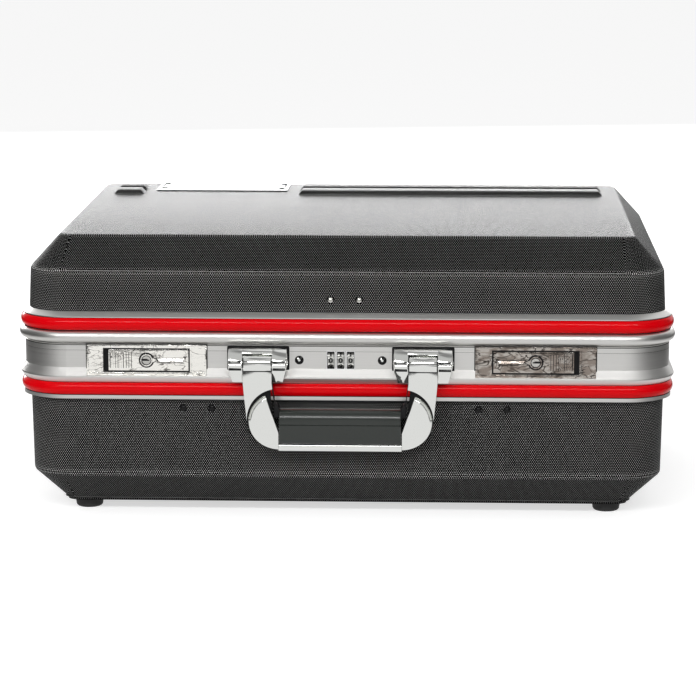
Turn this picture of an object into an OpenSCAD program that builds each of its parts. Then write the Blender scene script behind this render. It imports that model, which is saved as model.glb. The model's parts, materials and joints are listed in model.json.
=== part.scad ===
// Hard tool case: two ABS shells in aluminium frames, with twin sliding locks,
// a three-wheel combination, a swinging handle and a rear-hinged lid.
// Origin at the middle of the floor under the feet, +Z up, the handle faces -Y.

/* [Model] */
// Which node to build

/* [Case] */
// Width over the flat band of the base frame
band_w = 500; // [475:5:560]
// Depth over the flat band of the base frame
band_d = 385; // [340:5:430]
// Plan radius of the frames at the band
corner_r = 36; // [32:1:44]
// Height of the feet under the base shell
foot_h = 10.3; // [8:0.1:14]
// Height of the base shell under its frame
base_h = 83.7; // [70:0.5:120]
// Height of the lid shell above its frame
lid_h = 56.4; // [46:0.2:90]
// Wall of both shells
shell_t = 3; // [2.6:0.1:3.6]
// Step from the band in to the base shell
base_in = 4; // [3.6:0.1:4.6]
// Step from the band in to the lid shell
lid_in = 3.6; // [3.4:0.1:4.6]
// Draft of the upright walls, each side
draft = 1.3; // [0.8:0.1:1.8]
// Height of the long chamfer round the bottom
low_chamfer_h = 23.7; // [16:0.1:30]
// Width of the long chamfer round the bottom
low_chamfer_w = 24.6; // [16:0.1:30]
// Height of the long chamfer round the top
top_chamfer_h = 25.5; // [18:0.1:30]
// Width of the long chamfer round the top
top_chamfer_w = 23.2; // [16:0.1:28]
// Plan radius of the small flats at the top and bottom
flat_r = 10; // [7:0.5:14]
// Length of shell rim held inside a frame
rim_h = 10; // [8:0.5:12]

/* [Frames] */
// Wall of the extrusions behind the band
frame_t = 2.2; // [1.8:0.1:2.6]
// Inner leg that clamps the shell rim
leg_t = 1.6; // [1.2:0.1:2]
// Height of the base frame band from the trim to the parting face
band_h = 29.7; // [28.5:0.1:33]
// Height of the lid frame bulge from the parting face to the trim
bulge_h = 9.8; // [9.2:0.1:11]
// How far the lid frame bulge stands out from the band
bulge_out = 4.3; // [3.6:0.1:5]
// How far the flare under the band stands out
flare_out = 3.8; // [3:0.1:4.4]
// Height of the flare above the trim
flare_h = 11.2; // [9:0.1:12]
// Height of the lip that covers the shell rim
lip_h = 4; // [3:0.1:5]
// How far the lip stands out next to the trim
lip_out = 1.6; // [1:0.1:2.2]
// Height of the red trim
trim_h = 10.3; // [9:0.1:12]
// Crown of the red trim in front of the band
trim_out = 3.3; // [2.6:0.1:4]
// Radius of the trim's crown
trim_r = 6.2; // [5.8:0.1:9]
// Depth of the trim channel behind the band
channel_d = 1.3; // [1:0.1:1.6]
// Depth of the stiffening rib inside the band
band_rib_d = 2; // [1.6:0.1:2.4]
// Height of the sealing tongue on the base frame
tongue_h = 3; // [2:0.1:3.2]
// Thickness of the sealing tongue
tongue_t = 1.5; // [1.2:0.1:1.8]
// Distance of the tongue behind the band
tongue_in = 3.4; // [3:0.1:3.6]
// Gap all round the tongue in the lid frame
tongue_gap = 0.6; // [0.5:0.05:0.8]
// Gap between the two frames when shut
part_gap = 0.3; // [0.3:0.05:0.6]

/* [Fits] */
// Gap of pieces that are clipped or riveted together
fit = 0.1; // [0.05:0.01:0.2]
// Radial gap of a turning fit
run_fit = 0.05; // [0.03:0.01:0.08]
// Gap of a sliding or swinging face
slide_gap = 0.3; // [0.25:0.05:0.5]

/* [Feet and rivets] */
// Diameter of a foot at the shell
foot_d = 24; // [20:0.5:28]
// Distance of the feet from the edge of the bottom flat
foot_in = 16.5; // [14:0.5:30]
// Radius of the screw in a foot
foot_screw_r = 1.8; // [1.5:0.1:1.8]
// Radius of the rivet heads
rivet_r = 2.4; // [2:0.1:3]
// Height of the rivet heads
rivet_h = 1.2; // [0.8:0.1:1.6]
// Radius of the rivet shanks
shank_r = 1.6; // [1.2:0.1:1.8]
// Distance between the two rivets of a pair
rivet_pitch = 22; // [18:0.5:28]
// Place of the base rivet pairs from the middle
base_pair_x = 113.5; // [90:0.5:130]
// Distance of the base rivets under the frame
base_pair_drop = 6.5; // [6:0.5:14]
// Height of the lid rivets above the lid frame
lid_pair_rise = 9.8; // [8:0.2:16]

/* [Locks] */
// Shift of the locks, wheels and handle from the middle of the case
fittings_x = -3; // [-6:0.5:6]
// Shift of each lock towards the handle, out of the middle of its room between bracket and corner
lock_shift = 1.1; // [0:0.1:3]
// Width of a lock plate
plate_w = 92; // [84:1:100]
// Height of a lock plate
plate_h = 23.8; // [22:0.1:25]
// Thickness of a lock plate
plate_t = 2.2; // [1.8:0.1:2.6]
// Gap between the lock plate and the parting face
plate_drop = 0.4; // [0.3:0.1:0.8]
// Width of the slider window
window_w = 65; // [60:0.5:70]
// Height of the slider window
window_h = 16.9; // [15:0.1:18]
// Travel of a slider
travel = 3; // [2.8:0.1:3.6]
// Thickness of the slider face
slider_t = 1.7; // [1.4:0.1:2]
// Radius of the ring round the key plug
ring_r = 4.8; // [4.6:0.1:5.4]
// Radius of the key plug
plug_r = 3.35; // [3:0.05:3.6]
// Number of grip ribs on a slider
rib_n = 7; // [4:1:9]
// Spacing of the grip ribs
rib_pitch = 1.5; // [1.3:0.1:1.8]
// Radius of the tool that sinks the thumb dimple
dimple_r = 6; // [5:0.5:8]
// Length of the thumb dimple between its round ends
dimple_w = 17; // [12:1:18]
// Sheet of the inner lock cases
sheet_t = 1; // [0.8:0.1:1.4]
// Length of the key cam
cam_l = 7.5; // [6.5:0.1:8]
// Thickness of the key cam and of the lug that it meets
cam_t = 1.2; // [1:0.1:1.2]
// Width of the hook arm
hook_w = 8; // [6:0.5:10]
// Length of the hook nose
nose_l = 4; // [3.5:0.1:5]
// Place of the hook outward of the key plug
hook_off = 14; // [12:0.5:16]

/* [Combination] */
// Radius of a number wheel
wheel_r = 8; // [7.6:0.1:8.2]
// Width of a number wheel
wheel_w = 5; // [4.4:0.1:5.1]
// Spacing of the wheels
wheel_pitch = 7.6; // [7.4:0.1:8.4]
// How far the wheels stand out of the band
wheel_out = 1; // [0.6:0.1:1.1]
// Radius of the wheel axle
axle_r = 2; // [1.5:0.1:2.4]
// Width of a wheel window
slot_w = 5.4; // [5.3:0.1:6]
// Height of a wheel window
slot_h = 13.3; // [13.1:0.1:14]
// Distance of the wheel axle under the parting face
wheel_drop = 11.8; // [11:0.1:12.5]
// Distance of each band screw from the middle of the wheels
screw_off = 31.8; // [24:0.2:34]
// Radius of the band screw heads
screw_head_r = 2.8; // [2.2:0.1:3.2]

/* [Handle] */
// Distance of each handle bracket from the middle of the fittings
bracket_off = 63.2; // [58:0.2:70]
// Width of a handle bracket
bracket_w = 46; // [42:0.5:50]
// Width of the handle knuckle between the ears
knuckle_w = 22; // [18:0.5:24]
// Radius of the handle knuckle
knuckle_r = 7.5; // [6.5:0.1:8]
// Distance of the handle pin in front of the band
pivot_out = 9.3; // [8.8:0.1:10]
// Distance of the handle pin under the parting face
pivot_drop = 13.1; // [12.6:0.1:13.6]
// Radius of the handle pins
pin_r = 2.5; // [2:0.1:3]
// Length of the handle from its pin to its lower edge
handle_l = 67.2; // [60:0.2:80]
// Thickness of the handle arms
arm_t = 7; // [6:0.2:7.4]
// Radius of the handle's outer corners
handle_r = 24.4; // [20:0.2:26]
// How far the arms lean in towards the corners
arm_lean = 3.2; // [1:0.2:5]
// Length of the grip
grip_w = 93; // [84:1:100]
// Height of the grip
grip_h = 27.6; // [22:0.2:30]
// Height of the rim under the grip
rim_bar_h = 5.2; // [4:0.1:7]
// Radius of the full upper part of the grip
grip_r = 8.6; // [7:0.1:9.4]

/* [Lid fittings] */
// Width of the name plate
name_w = 113; // [80:1:120]
// Depth of the name plate
name_d = 48; // [36:1:52]
// Thickness of the name plate
name_t = 1; // [0.6:0.1:1.4]
// Gap between the short ribs and the name plate
name_gap = 8; // [4:0.5:12]
// Front edge of the name plate behind the middle of the case
name_y = 110; // [90:1:114]
// Height of the two ribs on the lid
rib_h = 3.8; // [2:0.1:5]
// Width of a rib at its foot
rib_w = 18; // [12:0.5:22]
// Spacing of the two ribs
rib_step = 29; // [26:0.5:34]
// Front edge of the front rib behind the middle of the case
rib_y = 88; // [70:1:92]
// Gap between the name plate and the long ribs
rib_gap = 10; // [6:0.5:20]
// Distance of the ribs' outer ends from the ends of the case
rib_in = 41; // [40:0.5:60]
// Length of the short ribs
stub_w = 27; // [15:0.5:28]
// Thickness of the board in the lid
board_t = 3; // [2:0.1:4]

/* [Hinges] */
// Distance of each hinge from the middle
hinge_off = 150; // [90:1:190]
// Width of a hinge
hinge_w = 48; // [40:1:60]
// Radius of the hinge barrel
barrel_r = 4; // [3.6:0.1:4.4]
// Radius of the hinge pin
hinge_pin_r = 2; // [1.5:0.1:2.2]
// Distance of the hinge pin behind the band
hinge_out = 9.6; // [9.4:0.1:10.4]
// Sheet of the hinge leaves
leaf_t = 2.4; // [2:0.1:2.6]

/* [Hidden] */
// Heights, from the floor up
z_floor = foot_h;
z_lip = z_floor + base_h;
z_trim = z_lip + lip_h;
z_band = z_trim + trim_h;
z_part = z_band + band_h;
z_lid = z_part + part_gap;
z_trim2 = z_lid + bulge_h;
z_lip2 = z_trim2 + trim_h;
z_rim2 = z_lip2 + lip_h;
z_top = z_rim2 + lid_h;
z_rim = z_lip + rim_h;
z_low_ridge = z_floor + low_chamfer_h;
z_top_ridge = z_top - top_chamfer_h;
// Plan
half_w = band_w / 2;
half_d = band_d / 2;
// Frame sections
slot_gap = 2 * fit;
base_depth = base_in + shell_t + slot_gap + leg_t;
lid_depth = lid_in + shell_t + slot_gap + leg_t;
web_t = 1.4;
flange_t = 2;
edge_c = 0.6;
flare_r = 1.1;
flare_mid = 5;
flare_foot = 1.3;
band_rib_z = z_band + 3;
band_rib_h = 2.2;
bulge_r = 4.7;
groove_h = tongue_h + tongue_gap;
groove_z = z_lid + groove_h - part_gap;
// Shell levels
chamfer_turn = 0.41;
// Locks
z_lock = z_part - plate_drop - plate_h / 2;
lock_off = (bracket_off + bracket_w / 2 + half_w - corner_r) / 2 - lock_shift;
lock_x = [fittings_x - lock_off, fittings_x + lock_off];
slider_w = window_w - travel - 2 * slide_gap;
slider_h = window_h - 2 * slide_gap;
ring_out = 1;
neck_r = ring_r - 0.6;
carriage_u = 12.6;
carriage_t = 2;
carriage_h = 8;
case_back = 17.8;
z_hook = z_lid + 8;
nose_h = 4;
keeper_w = 14;
lug_gap = (travel - 2 * cam_t) / 2;
// Combination
z_wheel = z_part - wheel_drop;
wheel_u = wheel_out - wheel_r;
hub_r = 4;
// Handle
z_pivot = z_part - pivot_drop;
bracket_x = [fittings_x - bracket_off, fittings_x + bracket_off];
z_handle = z_pivot - handle_l;
arm_u = pivot_out + 5.5 - arm_t;
corner_x = grip_w / 2 + 0.6;
corner_z = z_handle + handle_r;
bracket_foot = 2.3;
neck_z = z_band + bracket_foot - slide_gap;
cheek_drop = 6;
grip_z = z_handle + rim_bar_h + fit;
// Lid fittings
z_lid_pair = z_rim2 + lid_pair_rise;
z_base_pair = z_lip - base_pair_drop;
board_drop = 7;
board_z = z_lid_pair - board_drop;
// Ribs and name plate on the lid
rib_x1 = half_w - rib_in;
name_x = stub_w - rib_x1 + name_gap + name_w / 2;
rib_x0 = name_x + name_w / 2 + rib_gap;
// Hinges
z_hinge = z_part + part_gap / 2;
hinge_x = [-hinge_off, hinge_off];
leaf_z0 = z_band + flare_h + 0.6;
leaf_z1 = z_part - 1;
knuckle_end = 12;
stop_h = 6.2;
stop_z = z_hinge - barrel_r - 0.8;
// Rivets and the sheet metal pieces inside
rivet_seat = 0.12;
rivet_grip = shell_t + draft + 1.4;
tail_r = shank_r + 0.3;
tail_h = 0.8;
angle_t = 1.2;
tab_side = 6;
rest_reach = 13;
rest_drop = 9;
clip_reach = 14;
clip_lip = 9;
true_fn = 72;
hull_fn = 48;
cut = 0.5;

// ---------- shared shapes

// A section, x outward from the band and y up, carried round the rounded plan of the case
module round_run() {
    for (a = [0, 180]) {
        rotate(a)
        translate([-(half_w - corner_r), half_d, 0])
        rotate([90, 0, 90])
        linear_extrude(band_w - 2 * corner_r) children();
        rotate(a + 90)
        translate([-(half_d - corner_r), half_w, 0])
        rotate([90, 0, 90])
        linear_extrude(band_d - 2 * corner_r) children();
    }
    for (s = [[1, 1, 0], [-1, 1, 90], [-1, -1, 180], [1, -1, 270]])
        translate([s[0] * (half_w - corner_r), s[1] * (half_d - corner_r), 0])
        rotate(s[2])
        rotate_extrude(angle = 90, $fn = true_fn)
        translate([corner_r, 0]) children();
}

// Corner discs of a rounded plan, stepped in from the band, for a hull
module plan_discs(step_in, r, z, h) {
    for (x = [-1, 1])
        for (y = [-1, 1])
            translate([x * (half_w - step_in - r), y * (half_d - step_in - r), z])
            cylinder(h = h, r = r, $fn = hull_fn);
}

// A section, x outward and y up, run along the front
module front_bar(x, w) {
    translate([x - w / 2, -half_d, 0])
    mirror([0, 1, 0])
    rotate([90, 0, 90])
    linear_extrude(w) children();
}

// A round pin square to the front, between two distances from the band
module peg(x, z, u0, u1, r) {
    translate([x, -half_d - u0, z])
    rotate([90, 0, 0])
    cylinder(h = u1 - u0, r = r, $fn = true_fn);
}

// A block at the front, between two distances from the band
module block(x0, x1, u0, u1, z0, z1) {
    translate([min(x0, x1), -half_d - u1, z0])
    cube([abs(x1 - x0), u1 - u0, z1 - z0]);
}

// A rivet through the front wall: domed head outside, closed tail inside
module rivet(x, z, u, grip) {
    dome_r = (rivet_r * rivet_r + rivet_h * rivet_h) / (2 * rivet_h);
    peg(x, z, u - grip, u, shank_r - fit);
    intersection() {
        translate([x, -half_d - u - rivet_h + dome_r, z]) sphere(r = dome_r, $fn = true_fn);
        peg(x, z, u + 0.02, u + rivet_h, rivet_r);
    }
    peg(x, z, u - grip - tail_h, u - grip, tail_r);
}

// ---------- shells

function base_wall_in(z) = base_in + draft * (z_lip - z) / (z_lip - z_low_ridge);
function lid_wall_in(z) = lid_in + draft * (z - z_rim2) / (z_top_ridge - z_rim2);

module base_shell() {
    color("#2c2c2e")
    difference() {
        hull() {
            plan_discs(base_in, corner_r - base_in, z_lip, rim_h);
            plan_discs(base_in + draft, corner_r - base_in - draft, z_low_ridge, 0.01);
            plan_discs(base_in + draft + low_chamfer_w, flat_r, z_floor, 0.01);
        }
        hull() {
            plan_discs(base_in + shell_t, corner_r - base_in - shell_t, z_lip, rim_h + cut);
            plan_discs(base_in + draft + shell_t, corner_r - base_in - draft - shell_t,
                z_low_ridge + chamfer_turn * shell_t, 0.01);
            plan_discs(base_in + draft + low_chamfer_w + chamfer_turn * shell_t, flat_r - shell_t,
                z_floor + shell_t, 0.01);
        }
        for (x = [-1, 1])
            for (y = [-1, 1])
                translate([x * foot_x(), y * foot_y(), z_floor - cut])
                cylinder(h = shell_t + 2 * cut, r = foot_screw_r + fit, $fn = true_fn);
        each_base_rivet() peg(0, z_base_pair, -base_in - shell_t - draft - cut, 0, shank_r);
    }
}

module lid_shell() {
    color("#2c2c2e")
    difference() {
        union() {
            hull() {
                plan_discs(lid_in, corner_r - lid_in, z_rim2 - rim_h, rim_h);
                plan_discs(lid_in + draft, corner_r - lid_in - draft, z_top_ridge - 0.01, 0.01);
                plan_discs(lid_in + draft + top_chamfer_w, flat_r, z_top - 0.01, 0.01);
            }
            lid_ribs();
        }
        hull() {
            plan_discs(lid_in + shell_t, corner_r - lid_in - shell_t, z_rim2 - rim_h - cut, rim_h + cut);
            plan_discs(lid_in + draft + shell_t, corner_r - lid_in - draft - shell_t,
                z_top_ridge - chamfer_turn * shell_t, 0.01);
            plan_discs(lid_in + draft + top_chamfer_w + chamfer_turn * shell_t, flat_r - shell_t,
                z_top - shell_t - 0.01, 0.01);
        }
        for (s = [-0.5, 0.5])
            peg(s * rivet_pitch, z_lid_pair, -lid_in - shell_t - draft - cut, 0, shank_r);
        each_back_clip() peg(0, z_lid_pair, -lid_in - shell_t - draft - cut, 0, shank_r);
        each_plate_rivet() translate([0, 0, z_top - shell_t - cut])
            cylinder(h = shell_t + 2 * cut, r = shank_r, $fn = true_fn);
    }
}

// Raised ribs along the back of the lid, broken where the name plate sits
module lid_ribs() {
    for (i = [0, 1]) {
        lid_rib(rib_x0, rib_x1, rib_y + i * rib_step);
        lid_rib(-rib_x1, -rib_x1 + stub_w, rib_y + i * rib_step);
    }
}

module lid_rib(x0, x1, y0) {
    side = 1;
    ends = 4;
    intersection() {
        translate([x0, y0, z_top - cut])
        rotate([90, 0, 90])
        linear_extrude(x1 - x0)
        polygon([[0, 0], [rib_w, 0], [rib_w, cut], [rib_w - side, cut + rib_h],
            [side, cut + rib_h], [0, cut]]);
        translate([x0, y0 + rib_w, z_top - cut])
        rotate([90, 0, 0])
        linear_extrude(rib_w)
        polygon([[0, 0], [x1 - x0, 0], [x1 - x0, cut], [x1 - x0 - ends, cut + rib_h],
            [ends, cut + rib_h], [0, cut]]);
    }
}

function foot_x() = half_w - base_in - draft - low_chamfer_w - foot_in;
function foot_y() = half_d - base_in - draft - low_chamfer_w - foot_in - 1.4;

// ---------- frames and trim

module base_section() {
    difference() {
        union() {
            polygon([
                [-base_in + fit, z_lip],
                [lip_out, z_trim - edge_c],
                [lip_out, z_band],
                [flare_foot, z_band],
                [flare_out, z_band + flare_mid - flare_r],
                [flare_out, z_band + flare_mid],
                [0, z_band + flare_h],
                [0, z_part - edge_c],
                [-edge_c, z_part],
                [-tongue_in, z_part],
                [-tongue_in, z_part + tongue_h],
                [-tongue_in - tongue_t, z_part + tongue_h],
                [-tongue_in - tongue_t, z_part],
                [-base_depth, z_part],
                [-base_depth, z_part - flange_t],
                [-frame_t, z_part - flange_t],
                [-frame_t, band_rib_z + band_rib_h],
                [-frame_t - band_rib_d, band_rib_z + band_rib_h],
                [-frame_t - band_rib_d, band_rib_z],
                [-frame_t, band_rib_z],
                [-frame_t, z_rim + slot_gap + web_t],
                [-base_depth, z_rim + slot_gap + web_t],
                [-base_depth, z_lip],
                [-base_depth + leg_t, z_lip],
                [-base_depth + leg_t, z_rim + slot_gap],
                [-base_in + fit, z_rim + slot_gap]]);
        }
        translate([-channel_d, z_trim]) square([channel_d + lip_out + flare_out, trim_h]);
    }
}

module lid_section() {
    difference() {
        union() {
            polygon([
                [-tongue_in + tongue_gap, z_lid],
                [-edge_c, z_lid],
                [0, z_lid + edge_c],
                [0, z_trim2],
                [lip_out, z_trim2],
                [lip_out, z_lip2 + edge_c],
                [-lid_in + fit, z_rim2],
                [-lid_in + fit, z_rim2 - rim_h - slot_gap],
                [-lid_depth + leg_t, z_rim2 - rim_h - slot_gap],
                [-lid_depth + leg_t, z_rim2],
                [-lid_depth, z_rim2],
                [-lid_depth, z_rim2 - rim_h - slot_gap - web_t],
                [-channel_d - frame_t, z_rim2 - rim_h - slot_gap - web_t],
                [-channel_d - frame_t, groove_z + web_t],
                [-lid_depth, groove_z + web_t],
                [-lid_depth, z_lid],
                [-tongue_in - tongue_t - tongue_gap, z_lid],
                [-tongue_in - tongue_t - tongue_gap, groove_z],
                [-tongue_in + tongue_gap, groove_z]]);
            intersection() {
                translate([bulge_out - bulge_r, z_trim2 - bulge_r]) circle(r = bulge_r, $fn = true_fn);
                translate([-frame_t, z_lid]) square([frame_t + bulge_out, bulge_h]);
            }
        }
        translate([-channel_d, z_trim2]) square([channel_d + lip_out + bulge_out, trim_h]);
    }
}

// Crowned bead, pressed into its channel
module trim_section(z) {
    intersection() {
        translate([-channel_d + fit, z + fit]) square([channel_d + trim_out, trim_h - 2 * fit]);
        union() {
            translate([trim_out - trim_r, z + trim_h / 2]) circle(r = trim_r, $fn = true_fn);
            translate([-channel_d, z]) square([channel_d + 0.4, trim_h]);
        }
    }
}

module base_frame() {
    color("#b9bbbe")
    difference() {
        round_run() base_section();
        for (i = [0, 1]) {
            lx = lock_x[i];
            block(lx - plate_w / 2 - fit, lx + plate_w / 2 + fit, 0, 2 * flare_out,
                z_lock - plate_h / 2 - fit, z_lock + plate_h / 2 + fit);
            lock_slot(i, -base_depth - cut, cut, ring_r + slide_gap);
            for (s = [-1, 1])
                peg(lx + s * screw_reach(), z_lock, -frame_t - cut, cut, shank_r);
            for (s = [-1, 1])
                peg(bracket_x[i] + s * bolt_reach(), z_bolt(), -frame_t - cut, cut, foot_screw_r + fit);
        }
        for (i = [-1, 0, 1])
            block(fittings_x + i * wheel_pitch - slot_w / 2, fittings_x + i * wheel_pitch + slot_w / 2,
                -frame_t - cut, cut, z_wheel - slot_h / 2, z_wheel + slot_h / 2);
        for (s = [-1, 1])
            peg(fittings_x + s * screw_off, z_wheel, -frame_t - cut, cut, shank_r);
        each_hinge_rivet() peg(0, leaf_mid(), -frame_t - cut, cut, shank_r);
    }
}

module lid_frame() {
    color("#b9bbbe")
    difference() {
        round_run() lid_section();
        each_hinge_rivet() peg(0, z_leaf_pin(), -channel_d - frame_t - cut, bulge_out + cut, shank_r);
        each_keeper() keeper_bores(lid_depth + cut, -channel_d - frame_t - cut);
    }
}

module base_trim() {
    color("#d3080c")
    round_run() trim_section(z_trim);
}

module lid_trim() {
    color("#d3080c")
    round_run() trim_section(z_trim2);
}

// ---------- feet, rivets and rests

module each_foot() {
    for (x = [-1, 1])
        for (y = [-1, 1])
            translate([x * foot_x(), y * foot_y(), 0]) children();
}

module feet() {
    lower_r = foot_d / 2 - 1.4;
    round_r = 2.6;
    color("#1a1a1a")
    each_foot()
    rotate_extrude($fn = true_fn)
    difference() {
        union() {
            polygon([[0, 0], [lower_r - round_r, 0], [lower_r - 0.06, round_r], [foot_d / 2, foot_h],
                [0, foot_h]]);
            translate([lower_r - round_r, round_r]) circle(r = round_r, $fn = true_fn);
        }
        translate([-foot_d, -foot_h]) square([foot_d, 3 * foot_h]);
        square([foot_screw_r + fit, foot_h]);
        square([screw_bore(), foot_h / 2]);
    }
}

function screw_bore() = 2 * foot_screw_r + 0.6;

module foot_screws() {
    color("#a9abad")
    each_foot()
    difference() {
        union() {
            translate([0, 0, foot_h / 2 - 2]) cylinder(h = 2, r = 2 * foot_screw_r, $fn = true_fn);
            translate([0, 0, foot_h / 2 - 0.01])
                cylinder(h = foot_h / 2 + shell_t + 1.6, r = foot_screw_r, $fn = true_fn);
            translate([0, 0, foot_h + shell_t])
                cylinder(h = 1.6, r = 2 * foot_screw_r, $fn = 6);
        }
        for (a = [0, 90])
            rotate(a) translate([-1.6, -0.3, foot_h / 2 - 2.5]) cube([3.2, 0.6, 1.5]);
    }
}

// Four pairs, two at the front and two at the back
module each_base_rivet() {
    for (y = [0, 1])
        mirror([0, y, 0])
        for (x = [-base_pair_x, base_pair_x])
            for (s = [-0.5, 0.5])
                translate([x + s * rivet_pitch, 0, 0]) children();
}

module base_rivets() {
    color("#303030")
    each_base_rivet()
    rivet(0, z_base_pair, -base_wall_in(z_base_pair) + rivet_seat, rivet_grip);
}

// Angles riveted inside the walls, to carry a tool pallet
module pallet_rests() {
    tab = rivet_pitch + 2 * tab_side;
    wall = base_wall_in(z_base_pair - rest_drop) + shell_t;
    color("#9fa2a5")
    for (y = [0, 1])
        mirror([0, y, 0])
        for (x = [-base_pair_x, base_pair_x])
            difference() {
                union() {
                    block(x - tab / 2, x + tab / 2, -wall - angle_t - fit, -wall - fit,
                        z_base_pair - rest_drop, z_base_pair + rest_drop / 2);
                    block(x - tab / 2, x + tab / 2, -wall - rest_reach, -wall - fit,
                        z_base_pair - rest_drop, z_base_pair - rest_drop + angle_t);
                }
                for (s = [-0.5, 0.5])
                    peg(x + s * rivet_pitch, z_base_pair, -wall - 2 * angle_t, 0, shank_r);
            }
}

// ---------- locks

function screw_reach() = window_w / 2 + 8;
function out(i) = i == 0 ? -1 : 1;

// The slot for the barrel, long enough for the slider's travel
module lock_slot(i, u0, u1, r) {
    lx = lock_x[i];
    for (t = [0, travel])
        peg(lx + out(i) * t, z_lock, u0, u1, r);
    block(lx, lx + out(i) * travel, u0, u1, z_lock - r, z_lock + r);
}

module lock_plate(i) {
    lx = lock_x[i];
    pocket_h = plate_h - 4.4;
    margin = (plate_w - window_w) / 2;
    difference() {
        block(lx - plate_w / 2, lx + plate_w / 2, 0, plate_t, z_lock - plate_h / 2, z_lock + plate_h / 2);
        block(lx - window_w / 2, lx + window_w / 2, -cut, plate_t + cut,
            z_lock - window_h / 2, z_lock + window_h / 2);
        for (s = [-1, 1]) {
            block(lx + s * (window_w / 2 + 2.4), lx + s * (window_w / 2 + margin - 1.6),
                plate_t - 0.4, plate_t + cut, z_lock - pocket_h / 2, z_lock + pocket_h / 2);
            peg(lx + s * screw_reach(), z_lock, -cut, plate_t - 0.8, shank_r);
        }
    }
}

module lock_plate_left() {
    color("#d9dad6") lock_plate(0);
}

module lock_plate_right() {
    color("#d9dad6") lock_plate(1);
}

// Folded steel case behind the band, open at the front, with the hook's slot on top
module lock_case(i) {
    lx = lock_x[i];
    o = out(i);
    half = window_w / 2 - 1;
    z0 = z_lock - cam_l - 2.4;
    z1 = z_part - flange_t - fit;
    u0 = -frame_t - fit;
    hx = lx + o * hook_off;
    difference() {
        union() {
            difference() {
                block(lx - half, lx + half, -case_back - sheet_t, u0, z0 - sheet_t, z1);
                block(lx - half + sheet_t, lx + half - sheet_t, -case_back, u0 + cut, z0, z1 - sheet_t);
            }
            for (s = [-1, 1])
                block(lx + s * (half - sheet_t), lx + s * (screw_reach() + 5), u0 - sheet_t, u0,
                    z_lock - 6, z_lock + 6);
            block(lx + o * (cam_t / 2 + lug_gap), lx + o * (1.5 * cam_t + lug_gap),
                -case_back - sheet_t / 2, -carriage_u - carriage_t - slide_gap,
                z0 - sheet_t / 2, z_lock - cam_l + 2.5);
        }
        block(hx - o * (hook_w / 2 + slide_gap), hx + o * (hook_w / 2 + nose_l + travel + slide_gap),
            -carriage_u - carriage_t - 2 * slide_gap, -carriage_u + 2 * slide_gap,
            z_lock + slider_h / 2, z1 + cut);
        for (s = [-1, 1])
            peg(lx + s * screw_reach(), z_lock, u0 - 2 * sheet_t, u0 + cut, shank_r);
    }
}

module lock_case_left() {
    color("#8e9194") lock_case(0);
}

module lock_case_right() {
    color("#8e9194") lock_case(1);
}

// Short screws from inside, through the lock case and the band into the plate
module lock_screws() {
    color("#a9abad")
    for (lx = lock_x)
        for (s = [-1, 1]) {
            peg(lx + s * screw_reach(), z_lock, -frame_t - fit - sheet_t, plate_t - 1, shank_r - fit);
            peg(lx + s * screw_reach(), z_lock, -frame_t - fit - sheet_t - 1.6,
                -frame_t - fit - sheet_t, rivet_r);
        }
}

// Slider face with ribs and thumb dimple, and the key barrel behind it
module slider(i) {
    lx = lock_x[i];
    o = out(i);
    mid = lx - o * travel / 2;
    back = slide_gap;
    face = back + slider_t;
    rib0 = slider_w / 2 - 1.6;
    difference() {
        union() {
            block(mid - slider_w / 2, mid + slider_w / 2, back, face,
                z_lock - slider_h / 2, z_lock + slider_h / 2);
            for (k = [0:rib_n - 1])
                block(mid + o * (rib0 - k * rib_pitch), mid + o * (rib0 - k * rib_pitch - rib_pitch / 2),
                    face - cut, face + 0.6, z_lock - slider_h / 2 + 1.8, z_lock + slider_h / 2 - 1.8);
            peg(lx, z_lock, -carriage_u + 0.02, face + ring_out, ring_r);
            peg(lx, z_lock, -carriage_u - carriage_t, -carriage_u + cut, neck_r);
        }
        peg(lx, z_lock, -carriage_u - carriage_t - cut, face + ring_out + cut, plug_r + run_fit);
        dimple(lx - o * (ring_r + 2.4 + dimple_r / 2 + dimple_w / 2), face);
    }
}

// Long oval hollow for the thumb
module dimple(x, face) {
    sink = dimple_r - 1;
    for (s = [-1, 1])
        translate([x + s * dimple_w / 2, -half_d - face - sink, z_lock + 2.6])
        sphere(r = dimple_r, $fn = true_fn);
    translate([x - dimple_w / 2, -half_d - face - sink, z_lock + 2.6])
    rotate([0, 90, 0])
    cylinder(h = dimple_w, r = dimple_r, $fn = true_fn);
}

module slider_left() {
    color("#d2d3cf") slider(0);
}

module slider_right() {
    color("#d2d3cf") slider(1);
}

// Flat hook pressed on the end of the key barrel, with its nose pointing outward
module hook(i) {
    lx = lock_x[i];
    o = out(i);
    hx = lx + o * hook_off;
    difference() {
        union() {
            block(lx - o * (carriage_h + 1), hx + o * hook_w / 2, -carriage_u - carriage_t, -carriage_u,
                z_lock - carriage_h, z_lock + carriage_h);
            block(hx - o * hook_w / 2, hx + o * hook_w / 2, -carriage_u - carriage_t, -carriage_u,
                z_lock, z_hook);
            block(hx, hx + o * (hook_w / 2 + nose_l), -carriage_u - carriage_t, -carriage_u,
                z_hook - nose_h, z_hook);
        }
        peg(lx, z_lock, -carriage_u - carriage_t - cut, -carriage_u + cut, neck_r + fit / 2);
    }
}

module hook_left() {
    color("#9fa2a5") hook(0);
}

module hook_right() {
    color("#9fa2a5") hook(1);
}

// Turning plug with a keyway in front and the cam behind
module key_plug(i) {
    lx = lock_x[i];
    o = out(i);
    tip = slide_gap + slider_t + ring_out - 0.4;
    tail = carriage_u + carriage_t + slide_gap;
    difference() {
        union() {
            peg(lx, z_lock, -tail - cam_t, tip, plug_r);
            block(lx, lx - o * cam_l, -tail - cam_t, -tail, z_lock - cam_t / 2, z_lock + cam_t / 2);
        }
        block(lx - 2.3, lx + 2.3, tip - 6, tip + cut, z_lock - 0.5, z_lock + 0.5);
    }
}

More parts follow.
